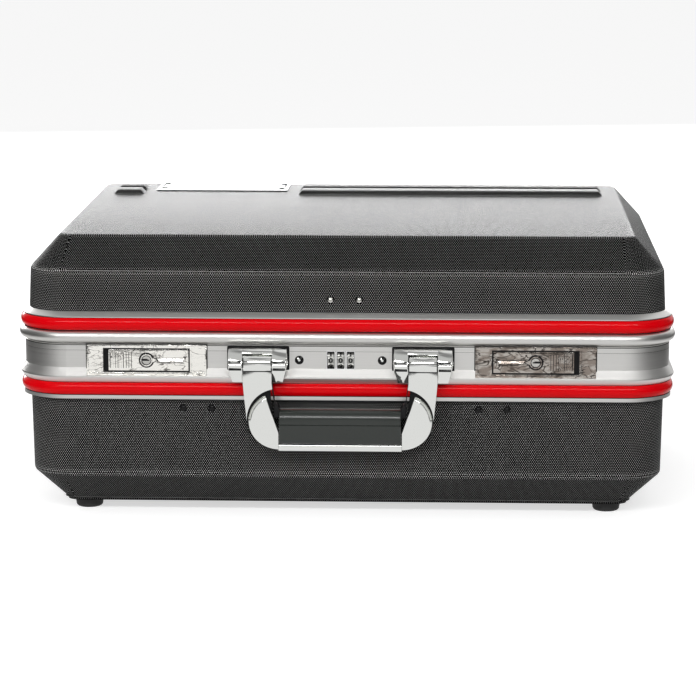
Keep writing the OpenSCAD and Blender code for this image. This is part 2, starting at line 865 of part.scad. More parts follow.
module key_plug_left() {
    color("#8d8f8e") key_plug(0);
}

module key_plug_right() {
    color("#8d8f8e") key_plug(1);
}

// Steel keepers on the lid frame, one beside each hook
module each_keeper() {
    for (i = [0, 1])
        translate([lock_x[i] + out(i) * (hook_off + hook_w / 2 + nose_l + 0.5 + keeper_w / 2), 0, 0])
            children();
}

module keeper_bores(far, near) {
    for (s = [-1, 1])
        peg(s * 4, keeper_z(), -far, near, shank_r - 0.6);
}

function keeper_z() = z_rim2 - 5;

module keepers() {
    lip_t = 1.6;
    lip_z = z_hook - nose_h - 0.5 - lip_t;
    color("#9fa2a5")
    each_keeper()
    difference() {
        union() {
            block(-keeper_w / 2, keeper_w / 2, -lid_depth - sheet_t, -lid_depth, lip_z, z_rim2 - 1);
            block(-keeper_w / 2, keeper_w / 2, -carriage_u - carriage_t - 1.3, -lid_depth,
                lip_z, lip_z + lip_t);
        }
        keeper_bores(lid_depth + 2 * sheet_t, 0);
    }
}

module keeper_rivets() {
    r = shank_r - 0.6;
    color("#b5b7b9")
    each_keeper()
    for (s = [-1, 1]) {
        peg(s * 4, keeper_z(), -lid_depth - sheet_t, -lid_depth + leg_t, r - fit);
        peg(s * 4, keeper_z(), -lid_depth - sheet_t - 1, -lid_depth - sheet_t, 2 * r);
    }
}

// ---------- combination

module combination_housing() {
    z0 = z_wheel - wheel_r - 1.6;
    z1 = z_part - flange_t - fit;
    u0 = -frame_t - fit;
    cheek = 1.5 * wheel_pitch + slide_gap;
    back = wheel_u - wheel_r - 0.8;
    color("#55585b")
    difference() {
        union() {
            block(fittings_x - screw_off - 5, fittings_x + screw_off + 5, u0 - sheet_t, u0, z0, z1);
            for (s = [-1, 1])
                block(fittings_x + s * cheek, fittings_x + s * (cheek + sheet_t), back - sheet_t, u0, z0, z1);
            block(fittings_x - cheek, fittings_x + cheek, back - sheet_t, back, z0, z1);
        }
        block(fittings_x - cheek, fittings_x + cheek, u0 - 2 * sheet_t, u0 + cut,
            z_wheel - wheel_r - slide_gap, z_wheel + wheel_r + slide_gap);
        translate([fittings_x - cheek - 2 * sheet_t, -half_d - wheel_u, z_wheel])
        rotate([0, 90, 0])
        cylinder(h = 2 * cheek + 4 * sheet_t, r = axle_r + fit / 2, $fn = true_fn);
        for (s = [-1, 1])
            peg(fittings_x + s * screw_off, z_wheel, u0 - 2 * sheet_t, u0 + cut, shank_r);
    }
}

module wheel_axle() {
    half = 1.5 * wheel_pitch + slide_gap + sheet_t + 0.8;
    color("#9a9c9e")
    translate([fittings_x - half, -half_d - wheel_u, z_wheel])
    rotate([0, 90, 0])
    cylinder(h = 2 * half, r = axle_r, $fn = true_fn);
}

// A wheel with ten finger notches between its ten places
module number_wheel(k) {
    hub_w = wheel_pitch - slide_gap;
    color("#3a3b3c")
    translate([fittings_x + k * wheel_pitch, -half_d - wheel_u, z_wheel])
    rotate([0, 90, 0])
    difference() {
        union() {
            translate([0, 0, -wheel_w / 2]) cylinder(h = wheel_w, r = wheel_r, $fn = true_fn);
            translate([0, 0, -hub_w / 2]) cylinder(h = hub_w, r = hub_r, $fn = true_fn);
        }
        translate([0, 0, -hub_w]) cylinder(h = 2 * hub_w, r = axle_r + run_fit, $fn = true_fn);
        for (a = [0:9])
            rotate(a * 36)
            translate([wheel_r + 0.25, 0, -wheel_w])
            cylinder(h = 2 * wheel_w, r = 0.7, $fn = 24);
    }
}

module number_wheel_1() {
    number_wheel(-1);
}

module number_wheel_2() {
    number_wheel(0);
}

module number_wheel_3() {
    number_wheel(1);
}

module band_screws() {
    dome_r = (screw_head_r * screw_head_r + rivet_h * rivet_h) / (2 * rivet_h);
    color("#c9cac8")
    for (s = [-1, 1])
        difference() {
            union() {
                peg(fittings_x + s * screw_off, z_wheel, -frame_t - fit - sheet_t - 1.5, 0.02, shank_r - fit);
                intersection() {
                    translate([fittings_x + s * screw_off, -half_d - rivet_h + dome_r, z_wheel])
                    sphere(r = dome_r, $fn = true_fn);
                    peg(fittings_x + s * screw_off, z_wheel, 0.02, rivet_h, screw_head_r);
                }
            }
            block(fittings_x + s * screw_off - 0.4, fittings_x + s * screw_off + 0.4, 0.5, rivet_h + cut,
                z_wheel - 1.7, z_wheel + 1.7);
            block(fittings_x + s * screw_off - 1.7, fittings_x + s * screw_off + 1.7, 0.5, rivet_h + cut,
                z_wheel - 0.4, z_wheel + 0.4);
        }
}

// ---------- handle

function bolt_reach() = (bracket_w + knuckle_w) / 4;
function z_bolt() = z_part - 5.6;

// Cast bracket: a back, a top bar and two faceted ears round the pin
module bracket(i) {
    bx = bracket_x[i];
    top = z_part - 1.8;
    foot = z_band + bracket_foot;
    seat = z_band + flare_h + 0.4;
    gap = knuckle_w / 2 + slide_gap;
    waist = bracket_w / 2;
    difference() {
        intersection() {
            union() {
                for (s = [-1, 1])
                    front_bar(bx + s * (waist + gap) / 2, waist - gap)
                    polygon([[0, top], [pivot_out + 1.5, top], [pivot_out + 6.4, z_pivot + 5.4],
                        [pivot_out + knuckle_r + 0.4, z_pivot + 1], [pivot_out + knuckle_r + 0.4, z_pivot - 2],
                        [pivot_out + 5, z_pivot - 6.5], [pivot_out + 1, foot],
                        [flare_out + 0.8, foot], [flare_out + 0.8, seat], [0, seat]]);
                front_bar(bx, 2 * gap + cut)
                polygon([[0, top], [pivot_out + 1.5, top], [pivot_out + 4, z_pivot + knuckle_r + 1.2],
                    [pivot_out + 3.4, z_pivot + knuckle_r + slide_gap],
                    [1.3, z_pivot + knuckle_r + slide_gap], [1.3, seat], [0, seat]]);
            }
            translate([bx, -half_d + cut, 0])
            rotate([90, 0, 0])
            linear_extrude(3 * pivot_out)
            polygon([[-waist + 1, top], [-waist, z_pivot], [-waist + 3.8, foot],
                [waist - 3.8, foot], [waist, z_pivot], [waist - 1, top]]);
            translate([bx, -half_d, foot])
            linear_extrude(top - foot)
            polygon([[-waist, 0], [-waist, -pivot_out], [-waist + 3.4, -3 * pivot_out],
                [waist - 3.4, -3 * pivot_out], [waist, -pivot_out], [waist, 0]]);
        }
        handle_bore(bx, bracket_w, pin_r + fit / 2);
        for (s = [-1, 1])
            peg(bx + s * bolt_reach(), z_bolt(), -cut, pivot_out, foot_screw_r + fit);
    }
}

module handle_bore(bx, w, r) {
    translate([bx - w / 2 - cut, -half_d - pivot_out, z_pivot])
    rotate([0, 90, 0])
    cylinder(h = w + 2 * cut, r = r, $fn = true_fn);
}

module bracket_left() {
    color("#d9dad6") bracket(0);
}

module bracket_right() {
    color("#d9dad6") bracket(1);
}

module bracket_screws() {
    color("#a9abad")
    for (bx = bracket_x)
        for (s = [-1, 1]) {
            peg(bx + s * bolt_reach(), z_bolt(), -frame_t - 0.05, pivot_out - 1, foot_screw_r);
            peg(bx + s * bolt_reach(), z_bolt(), -frame_t - 2, -frame_t - 0.02, 1.7 * foot_screw_r);
        }
}

module handle_pins() {
    pin_w = bracket_w - 2.4;
    color("#b5b7b9")
    for (bx = bracket_x)
        translate([bx - pin_w / 2, -half_d - pivot_out, z_pivot])
        rotate([0, 90, 0])
        cylinder(h = pin_w, r = pin_r, $fn = true_fn);
}

// Front outline of one arm, from the knuckle to the round corner, in x from the middle of the handle
module arm_outline() {
    outer = bracket_off + knuckle_w / 2;
    inner = bracket_off - knuckle_w / 2;
    polygon([[outer, z_pivot], [outer, neck_z],
        [outer - 0.35 * arm_lean, z_pivot - 0.4 * handle_l],
        [corner_x + handle_r, corner_z + 2], [corner_x + handle_r, corner_z], [corner_x, corner_z],
        [corner_x, corner_z + cheek_drop], [inner - 0.5 * arm_lean, z_pivot - 0.4 * handle_l],
        [inner, neck_z], [inner, z_pivot]]);
}

module handle_half() {
    front = pivot_out + 5.5;
    deep = pivot_out - 5.5;
    step = front - 3.6;
    dome_r = 34;
    cheek_r = handle_r - 4;
    difference() {
        union() {
            intersection() {
                translate([0, -half_d - arm_u, 0]) rotate([90, 0, 0]) linear_extrude(arm_t) arm_outline();
                translate([0, -half_d - arm_u + cut, 0]) rotate([90, 0, 0])
                linear_extrude(arm_t + 2 * cut)
                difference() {
                    translate([0, z_handle]) square([2 * bracket_off, handle_l]);
                    translate([corner_x, corner_z]) circle(r = handle_r - 0.1, $fn = true_fn);
                }
            }
            // round corner under the arm, stepped back, with its domed cheek
            intersection() {
                peg(corner_x, corner_z, deep, step, handle_r);
                block(corner_x, corner_x + handle_r, deep, front, z_handle, z_pivot);
            }
            intersection() {
                translate([corner_x + 1.3 * cheek_drop, -half_d - front - 1.2 + dome_r, corner_z - cheek_drop])
                sphere(r = dome_r, $fn = true_fn);
                peg(corner_x, corner_z, step - cut, front + 2, handle_r - 0.6);
                block(corner_x, corner_x + handle_r, step - cut, front + 2, z_handle, z_pivot);
                peg(corner_x + cheek_drop, corner_z - cheek_drop, step - cut, front + 2, cheek_r);
            }
            block(-cut, corner_x + cut, deep, front - 1, z_handle, z_handle + rim_bar_h);
            translate([bracket_off - knuckle_w / 2, -half_d - pivot_out, z_pivot])
            rotate([0, 90, 0])
            cylinder(h = knuckle_w, r = knuckle_r, $fn = true_fn);
        }
        handle_bore(bracket_off, knuckle_w, pin_r + run_fit);
    }
}

module handle_frame() {
    color("#dcdeda")
    translate([fittings_x, 0, 0]) {
        handle_half();
        mirror([1, 0, 0]) handle_half();
    }
}

// Grip section: full at the top, slimmer towards the rim
module grip_section() {
    low_r = grip_r - 1.6;
    mid = pivot_out + 0.4;
    z1 = grip_z + grip_h - grip_r;
    z0 = grip_z + low_r;
    translate([mid, z1]) circle(r = grip_r, $fn = true_fn);
    translate([mid - 0.6, z0]) circle(r = low_r, $fn = true_fn);
    polygon([[mid + grip_r, z1], [mid - grip_r, z1], [mid - 0.6 - low_r, z0], [mid - 0.6 + low_r, z0]]);
    translate([mid - 0.6 - low_r + 2, grip_z]) square([2 * low_r - 4, low_r]);
}

module handle_grip() {
    color("#3f4240")
    front_bar(fittings_x, grip_w) grip_section();
}

// ---------- hinges

function leaf_mid() = (leaf_z0 + leaf_z1) / 2 - 1.6;
function z_leaf_pin() = groove_z + web_t + tail_r + fit;

function leaf_skin() = bulge_out + leaf_t;

// Lower edge of the upper leaf, clear of the end knuckles
function z_leaf_foot() =
    z_hinge + sqrt(pow(barrel_r + slide_gap, 2) - pow(hinge_out - leaf_skin(), 2)) + fit;

module each_hinge() {
    for (x = hinge_x)
        mirror([0, 1, 0]) translate([x, 0, 0]) children();
}

module each_hinge_rivet() {
    each_hinge()
    for (s = [-1, 1])
        translate([s * hinge_w * 0.36, 0, 0]) children();
}

// Barrel run along the pin, between two places across the hinge
module barrel(x0, x1, r) {
    translate([x0, -half_d - hinge_out, z_hinge])
    rotate([0, 90, 0])
    cylinder(h = x1 - x0, r = r, $fn = true_fn);
}

// Lower leaf: on the band, with a knuckle at each end and the stop shelf between
module hinge_leaves_base() {
    mid = hinge_w / 2 - knuckle_end;
    color("#9fa2a5")
    each_hinge()
    difference() {
        union() {
            front_bar(0, hinge_w)
            polygon([[0, leaf_z0], [leaf_t, leaf_z0], [leaf_t, leaf_z1], [0, leaf_z1]]);
            for (s = [-1, 1])
                front_bar(s * (hinge_w / 2 + mid) / 2, hinge_w / 2 - mid)
                polygon([[0, leaf_z1 - 8], [leaf_t, leaf_z1 - 8], [hinge_out + barrel_r - 0.2, z_hinge - 2],
                    [hinge_out, z_hinge], [hinge_out - barrel_r, z_hinge - 1.6], [0, leaf_z1]]);
            barrel(-hinge_w / 2, -mid, barrel_r);
            barrel(mid, hinge_w / 2, barrel_r);
            front_bar(0, 2 * mid + cut)
            polygon([[0, stop_z - stop_h], [leaf_t, stop_z - stop_h], [hinge_out - 0.4, stop_z - stop_h / 2],
                [hinge_out - 0.4, stop_z - 0.2], [hinge_out - 2, stop_z], [0, stop_z]]);
        }
        barrel(-hinge_w, hinge_w, hinge_pin_r + fit / 2);
        for (s = [-1, 1])
            peg(s * hinge_w * 0.36, leaf_mid(), -cut, leaf_t + hinge_out, shank_r);
        for (s = [-1, 1])
            peg(s * hinge_w * 0.36, leaf_mid(), leaf_t, leaf_t + hinge_out, rivet_r + 0.4);
    }
}

// Upper leaf: over the bulge, with the middle knuckle and the stop heel
module hinge_leaves_lid() {
    mid = hinge_w / 2 - knuckle_end - slide_gap;
    skin = leaf_skin();
    foot = z_leaf_foot();
    heel = barrel_r + 2.6;
    color("#9fa2a5")
    each_hinge()
    difference() {
        union() {
            front_bar(0, hinge_w)
            polygon([[0, foot], [skin, foot], [skin, z_trim2 - 0.6], [skin - 0.4, z_trim2 - 0.2],
                [0, z_trim2 - 0.2]]);
            front_bar(0, 2 * mid)
            polygon([[bulge_out, z_lid + 2.2], [hinge_out - barrel_r, z_hinge], [hinge_out, z_hinge],
                [hinge_out + 1, z_hinge + barrel_r - 0.2], [skin, z_trim2 - 2.5], [bulge_out, z_trim2 - 2.5]]);
            barrel(-mid, mid, barrel_r);
            front_bar(0, 2 * mid)
            polygon([[hinge_out, z_hinge], [hinge_out + heel, z_hinge + 0.4],
                [hinge_out + heel - 0.4, z_hinge + 2.6], [hinge_out + 1, z_hinge + barrel_r - 0.2]]);
        }
        front_bar(0, 2 * hinge_w) {
            translate([bulge_out - bulge_r, z_trim2 - bulge_r]) circle(r = bulge_r + fit, $fn = true_fn);
            translate([-cut, z_lid]) square([cut + 0.1, bulge_h]);
        }
        barrel(-hinge_w, hinge_w, hinge_pin_r + run_fit);
        for (s = [-1, 1])
            peg(s * hinge_w * 0.36, z_leaf_pin(), -cut, skin + cut, shank_r);
    }
}

module hinge_pins() {
    color("#b5b7b9")
    each_hinge()
    barrel(-hinge_w / 2 - 0.6, hinge_w / 2 + 0.6, hinge_pin_r);
}

module hinge_rivets_base() {
    color("#b5b7b9")
    each_hinge_rivet()
    rivet(0, leaf_mid(), leaf_t, leaf_t + frame_t + 0.05);
}

module hinge_rivets_lid() {
    color("#b5b7b9")
    each_hinge_rivet()
    rivet(0, z_leaf_pin(), bulge_out + leaf_t, bulge_out + leaf_t + channel_d + frame_t + 0.05);
}

// ---------- lid fittings

module lid_rivets() {
    color("#c9cac8")
    for (s = [-0.5, 0.5])
        rivet(s * rivet_pitch, z_lid_pair, -lid_wall_in(z_lid_pair) + rivet_seat, rivet_grip);
}

module each_plate_rivet() {
    for (x = [-1, 1])
        for (y = [0.3, 0.92])
            translate([name_x + x * (name_w / 2 - 5.5), name_y + y * name_d, 0]) children();
}

// Bare metal plate on the lid, cut a little slanting at its ends
module name_plate() {
    color("#e2e3e1")
    difference() {
        translate([name_x, name_y, z_top])
        linear_extrude(name_t)
        polygon([[-name_w / 2, 0], [name_w / 2, 0], [name_w / 2, name_d], [-name_w / 2, name_d]]);
        each_plate_rivet() translate([0, 0, z_top - cut]) cylinder(h = name_t + 2 * cut, r = shank_r, $fn = true_fn);
    }
}

module plate_rivets() {
    head_h = 0.9;
    color("#3a3a3a")
    each_plate_rivet() {
        translate([0, 0, z_top + name_t + 0.02]) cylinder(h = head_h, r = rivet_r, $fn = true_fn);
        translate([0, 0, z_top - shell_t - 0.05])
            cylinder(h = shell_t + name_t + 0.2, r = shank_r - fit, $fn = true_fn);
        translate([0, 0, z_top - shell_t - tail_h - 0.05]) cylinder(h = tail_h, r = tail_r, $fn = true_fn);
    }
}

// Two clips at the back, each on a pair of rivets like the front one
module each_back_clip() {
    for (x = [-base_pair_x, base_pair_x])
        for (s = [-0.5, 0.5])
            mirror([0, 1, 0]) translate([x + s * rivet_pitch, 0, 0]) children();
}

module clip() {
    tab = rivet_pitch + 2 * tab_side;
    wall = lid_wall_in(z_lid_pair + board_drop) + shell_t;
    difference() {
        union() {
            block(-tab / 2, tab / 2, -wall - angle_t - fit, -wall - fit,
                board_z - angle_t - fit, 2 * z_lid_pair - board_z);
            block(-tab / 2, tab / 2, -wall - clip_reach, -wall - fit, board_z - angle_t - fit, board_z - fit);
            block(-tab / 2, tab / 2, -wall - clip_lip, -wall - fit,
                board_z + board_t + fit, board_z + board_t + fit + angle_t);
        }
        for (s = [-0.5, 0.5])
            peg(s * rivet_pitch, z_lid_pair, -wall - 2 * angle_t, 0, shank_r);
    }
}

module board_clips() {
    color("#9fa2a5") {
        clip();
        for (x = [-base_pair_x, base_pair_x])
            mirror([0, 1, 0]) translate([x, 0, 0]) clip();
    }
}

module clip_rivets() {
    color("#303030")
    each_back_clip()
    rivet(0, z_lid_pair, -lid_wall_in(z_lid_pair) + rivet_seat, rivet_grip);
}

// Board across the lid, held at its edges by the clips
module lid_board() {
    edge = lid_in + draft + shell_t + 3.4;
    r = corner_r - edge;
    color("#3b3d40")
    translate([0, 0, board_z])
    linear_extrude(board_t)
    difference() {
        union() {
            square([band_w - 2 * edge, band_d - 2 * corner_r], center = true);
            square([band_w - 2 * corner_r, band_d - 2 * edge], center = true);
            for (x = [-1, 1])
                for (y = [-1, 1])
                    translate([x * (half_w - edge - r), y * (half_d - edge - r)])
                    circle(r = r, $fn = true_fn);
        }
    }
}

base_shell();
base_frame();
base_trim();
feet();
foot_screws();
base_rivets();
pallet_rests();
lock_plate_left();
lock_plate_right();
lock_case_left();
lock_case_right();
lock_screws();
slider_left();
slider_right();
hook_left();
hook_right();
key_plug_left();
key_plug_right();
combination_housing();
wheel_axle();
number_wheel_1();
number_wheel_2();
number_wheel_3();
band_screws();
bracket_left();
bracket_right();
bracket_screws();
handle_pins();
handle_frame();
handle_grip();
hinge_leaves_base();
hinge_pins();
hinge_rivets_base();
hinge_leaves_lid();
hinge_rivets_lid();
lid_shell();
lid_frame();
lid_trim();
lid_rivets();
name_plate();
plate_rivets();
board_clips();
clip_rivets();
lid_board();
keepers();
keeper_rivets();
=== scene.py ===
import json
import math

import bmesh
import bpy
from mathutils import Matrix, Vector


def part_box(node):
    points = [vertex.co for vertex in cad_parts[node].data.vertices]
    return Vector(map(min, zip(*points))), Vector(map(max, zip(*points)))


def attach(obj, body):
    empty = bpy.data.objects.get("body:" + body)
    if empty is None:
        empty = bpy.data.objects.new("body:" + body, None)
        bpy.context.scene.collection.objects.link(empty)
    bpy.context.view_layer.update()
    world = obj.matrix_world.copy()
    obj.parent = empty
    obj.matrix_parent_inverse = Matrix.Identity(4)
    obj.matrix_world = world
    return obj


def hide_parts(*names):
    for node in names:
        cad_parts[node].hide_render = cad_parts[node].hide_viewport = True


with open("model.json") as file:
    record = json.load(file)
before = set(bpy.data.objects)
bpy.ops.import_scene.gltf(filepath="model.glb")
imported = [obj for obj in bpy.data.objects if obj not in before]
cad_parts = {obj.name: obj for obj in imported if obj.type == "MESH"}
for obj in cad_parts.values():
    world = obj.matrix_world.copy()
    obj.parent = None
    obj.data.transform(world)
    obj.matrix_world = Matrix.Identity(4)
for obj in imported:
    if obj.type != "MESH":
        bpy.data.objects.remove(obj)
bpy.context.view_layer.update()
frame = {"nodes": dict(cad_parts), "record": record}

MM = 0.001

# ---------------------------------------------------------------- sizes, in millimetres

half_w, half_d = 250.0, 192.5
corner_r = 36.0
z_floor, z_low_ridge, z_lip = 10.3, 34.0, 94.0
z_trim, z_band = 98.0, 108.3
z_trim2, z_lip2, z_rim2 = 148.1, 158.4, 162.4
z_top_ridge, z_top = 193.3, 218.8
case_height = 222.6
fx = -3.0  # middle of the handle and the wheels

# ---------------------------------------------------------------- camera

bpy.ops.object.camera_add(location=(0.08643, -2.40953, 0.52917))
camera = bpy.context.object
camera.name = "product_camera"
camera.rotation_euler = (math.radians(79.946), 0.0, math.radians(2.166))
camera.data.sensor_width = 36.0
camera.data.lens = 152.35
camera.data.clip_start = 0.1
camera.data.clip_end = 30.0
bpy.context.scene.camera = camera
bpy.context.scene.view_settings.view_transform = "Standard"


# ---------------------------------------------------------------- colours and nodes

def colour(hex_code):
    """An sRGB hex colour as linear RGBA."""
    channels = []
    for i in (0, 2, 4):
        c = int(hex_code[i:i + 2], 16) / 255
        channels.append(c / 12.92 if c <= 0.04045 else ((c + 0.055) / 1.055) ** 2.4)
    return (*channels, 1.0)


def put(tree, kind, inputs=None, **settings):
    """Adds a node with its settings; an input is either a value or a socket to link from."""
    made = tree.nodes.new(kind)
    for name, value in settings.items():
        setattr(made, name, value)
    for key, value in (inputs or {}).items():
        if isinstance(value, bpy.types.NodeSocket):
            tree.links.new(value, made.inputs[key])
        else:
            made.inputs[key].default_value = value
    return made


def by_height(tree, height, stops):
    """A grey that follows a height: stops are pairs of height and strength."""
    made = put(tree, "ShaderNodeValToRGB", {0: height})
    ramp = made.color_ramp
    ramp.elements[0].position, ramp.elements[-1].position = stops[0][0], stops[-1][0]
    for place, _ in stops[1:-1]:
        ramp.elements.new(place)
    for element, (_, strength) in zip(ramp.elements, stops):
        element.color = (strength, strength, strength, 1.0)
    return made


def new_finish(name):
    """An empty material with its output, ready for a shader."""
    finish = bpy.data.materials.new(name)
    finish.use_nodes = True
    finish.node_tree.nodes.clear()
    return finish, finish.node_tree, put(finish.node_tree, "ShaderNodeOutputMaterial")


def close_finish(t, out, tone, rough, more):
    """Puts the shader of a finish in its place: tone, roughness and further inputs by name."""
    skin = put(t, "ShaderNodeBsdfPrincipled", {"Base Color": tone, "Roughness": rough, **more})
    t.links.new(skin.outputs[0], out.inputs[0])


def maths(t, operation, *values, **settings):
    """One sum of up to three values."""
    return put(t, "ShaderNodeMath", dict(enumerate(values)), operation=operation, **settings).outputs[0]


def span(t, value, low, high, to_low, to_high):
    """Carries a value from one range over to another."""
    return put(t, "ShaderNodeMapRange", {0: value, 1: low, 2: high, 3: to_low, 4: to_high}).outputs[0]


def noise(t, where, scale, detail, **more):
    return put(t, "ShaderNodeTexNoise", {"Vector": where, "Scale": scale, "Detail": detail, **more}).outputs[0]


def blend(t, factor, low, high, **settings):
    """A colour between two others."""
    return put(t, "ShaderNodeMix", {"Factor": factor, 6: low, 7: high}, data_type="RGBA", **settings).outputs[2]


def bump(t, height, strength, distance):
    """The relief of a surface; the distance is in metres."""
    return put(t, "ShaderNodeBump", {"Strength": strength, "Distance": distance, "Height": height}).outputs[0]


def stretched(t, where, scale):
    return put(t, "ShaderNodeMapping", {"Vector": where, "Scale": scale}).outputs[0]


def on_object(t):
    return put(t, "ShaderNodeTexCoord").outputs["Object"]


def axes_of(t, where):
    return put(t, "ShaderNodeSeparateXYZ", {0: where}).outputs


def seen_directly(t, ray):
    """1 where the camera looks, straight or through something clear, and 0 where light or a mirror does."""
    return maths(t, "MAXIMUM", ray["Is Camera Ray"], ray["Is Transmission Ray"])


# ---------------------------------------------------------------- finishes

grain_pitch_x, grain_pitch_y = 1.7, 2.6
noise_low, noise_high = 0.3, 0.7  # where nearly all of a noise lies

# how bright the painted glints on the grain tips are, by height over the height of the case; the peaks paint a
# highlight along each fold
fold_glint_by_height = [(0.04, 0.32), (0.145, 0.34), (0.155, 1.0), (0.175, 0.4), (0.42, 0.4), (0.73, 0.4), (0.8, 0.35),
            (0.856, 0.42), (0.867, 1.0), (0.88, 0.23), (0.975, 0.23), (0.984, 1.0), (0.987, 0.25), (0.997, 0.25),
            (1.0, 1.0)]


def grained_black_abs():
    """Vacuum formed ABS with a staggered pyramid grain, 1.7 by 2.6 mm, whose tips carry painted glints that show as
    rows of light dots.
    """
    finish, t, out = new_finish("grained_black_abs")
    where = put(t, "ShaderNodeUVMap", uv_map="grain").outputs[0]
    x, y, _ = axes_of(t, stretched(t, where, (1 / grain_pitch_x, 1 / grain_pitch_y, 1.0)))
    # triangle waves along both diagonals; the lower of the two is a pyramid
    pyramid = maths(t, "MINIMUM", maths(t, "PINGPONG", maths(t, "ADD", x, y), 0.5),
                    maths(t, "PINGPONG", maths(t, "SUBTRACT", x, y), 0.5))
    relief = maths(t, "MULTIPLY_ADD", noise(t, where, 1.9, 3.0), 0.04, pyramid)
    peak = span(t, pyramid, 0.26, 0.36, 0.0, 1.0)
    glint_mottle = span(t, noise(t, where, 0.03, 3.0), noise_low, noise_high, 0.88, 1.0)
    # the painted glints are brightest on the folds, a painted highlight there, and weakest on the slopes, with a
    # mild random mottle
    height = maths(t, "MULTIPLY", axes_of(t, on_object(t))[2], 1 / (case_height * MM))
    glint_strength = maths(t, "MULTIPLY", glint_mottle, by_height(t, height, fold_glint_by_height).outputs[0])
    # tip: the mask of the painted glints, which turn the tips from near black to near white
    tip = maths(t, "MULTIPLY", peak, glint_strength)
    close_finish(t, out, blend(t, tip, colour("020202"), colour("F2F2F0")), span(t, tip, 0.0, 1.0, 0.45, 0.34),
                 {"Specular IOR Level": span(t, tip, 0.0, 1.0, 0.02, 0.3),
                  "Normal": bump(t, relief, 0.55, 0.00035)})
    return finish


def satin_anodised_aluminium():
    """Extruded and satin anodised: a soft grey sheen with fine die lines that run round the case."""
    finish, t, out = new_finish("satin_anodised_aluminium")
    where = on_object(t)
    # die lines: 0.5 mm apart up the wall, tens of millimetres long
    lines = noise(t, stretched(t, where, (14.0, 14.0, 2000.0)), 1.0, 4.0)
    both = maths(t, "MULTIPLY_ADD", noise(t, where, 1800.0, 1.0), 0.3, lines)
    close_finish(t, out, blend(t, lines, colour("CBCAC8"), colour("DDDCD9")),
                 span(t, lines, noise_low, noise_high, 0.32, 0.44),
                 {"Metallic": 1.0, "Normal": bump(t, both, 0.12, 0.00008)})
    return finish


def pressed_lock_nickel():
    """Thin nickelled sheet of the locks: nearly a mirror, dented by the press, with painted shade in its creases;
    the right one carries a painted reflection that turns it a darker, warm grey."""
    finish, t, out = new_finish("pressed_lock_nickel")
    where = on_object(t)
    long = stretched(t, where, (0.45, 1.0, 1.0))
    dents = noise(t, long, 230.0, 2.0)
    # creases lie where a second noise crosses its middle; there the sheet gets painted shade, deeper in the dented
    # patches and on the right lock
    depth = maths(t, "ABSOLUTE", maths(t, "SUBTRACT", noise(t, long, 150.0, 2.0, Distortion=0.8), 0.5))
    crease = span(t, depth, 0.004, 0.03, 1.0, 0.0)
    patch = span(t, dents, 0.45, 0.6, 0.0, 1.0)
    right = span(t, axes_of(t, where)[0], 0.05, 0.1, 0.0, 1.0)
    thick = maths(t, "MULTIPLY_ADD", patch, 0.5, maths(t, "MULTIPLY_ADD", right, 0.35, 0.35))
    dark = maths(t, "MULTIPLY", crease, thick, use_clamp=True)
    # painted reflection: the right lock turns a darker, warm grey, a little less in the dented patches
    warm_reflection = maths(t, "MULTIPLY", right, maths(t, "MULTIPLY_ADD", patch, -0.3, 1.0))
    nickel_tone = blend(t, warm_reflection, colour("F8F6F0"), colour("8F857D"))
    close_finish(t, out, blend(t, dark, nickel_tone, colour("3A322D")), 0.16,
                 {"Metallic": 1.0, "Normal": bump(t, dents, 0.35, 0.0012)})
    return finish


def textured_board_plastic():
    """Pressed sheet for the lid board: charcoal with a fine leather-like grain 0.8 mm across."""
    finish, t, out = new_finish("textured_board_plastic")
    cells = put(t, "ShaderNodeTexVoronoi", {"Vector": on_object(t), "Scale": 1200.0}).outputs[0]
    close_finish(t, out, blend(t, cells, colour("2A2B2D"), colour("38393B")), 0.6,
                 {"IOR": 1.5, "Normal": bump(t, cells, 0.4, 0.0002)})
    return finish


def one_noise(name, scale, detail, tones, rough, more, relief=None, run=None):
    """A finish led by one noise, stretched where it runs in lines. The noise picks the tone, and the roughness where
    rough is a pair; relief is its strength and its distance in metres."""
    finish, t, out = new_finish(name)
    where = stretched(t, on_object(t), run) if run else on_object(t)
    lead = noise(t, where, scale, detail)
    tone = blend(t, lead, *map(colour, tones)) if len(tones) == 2 else colour(tones[0])
    if isinstance(rough, tuple):
        rough = span(t, lead, noise_low, noise_high, *rough)
    if relief:
        more = {**more, "Normal": bump(t, lead, *relief)}
    close_finish(t, out, tone, rough, more)
    return finish


metal = {"Metallic": 1.0}

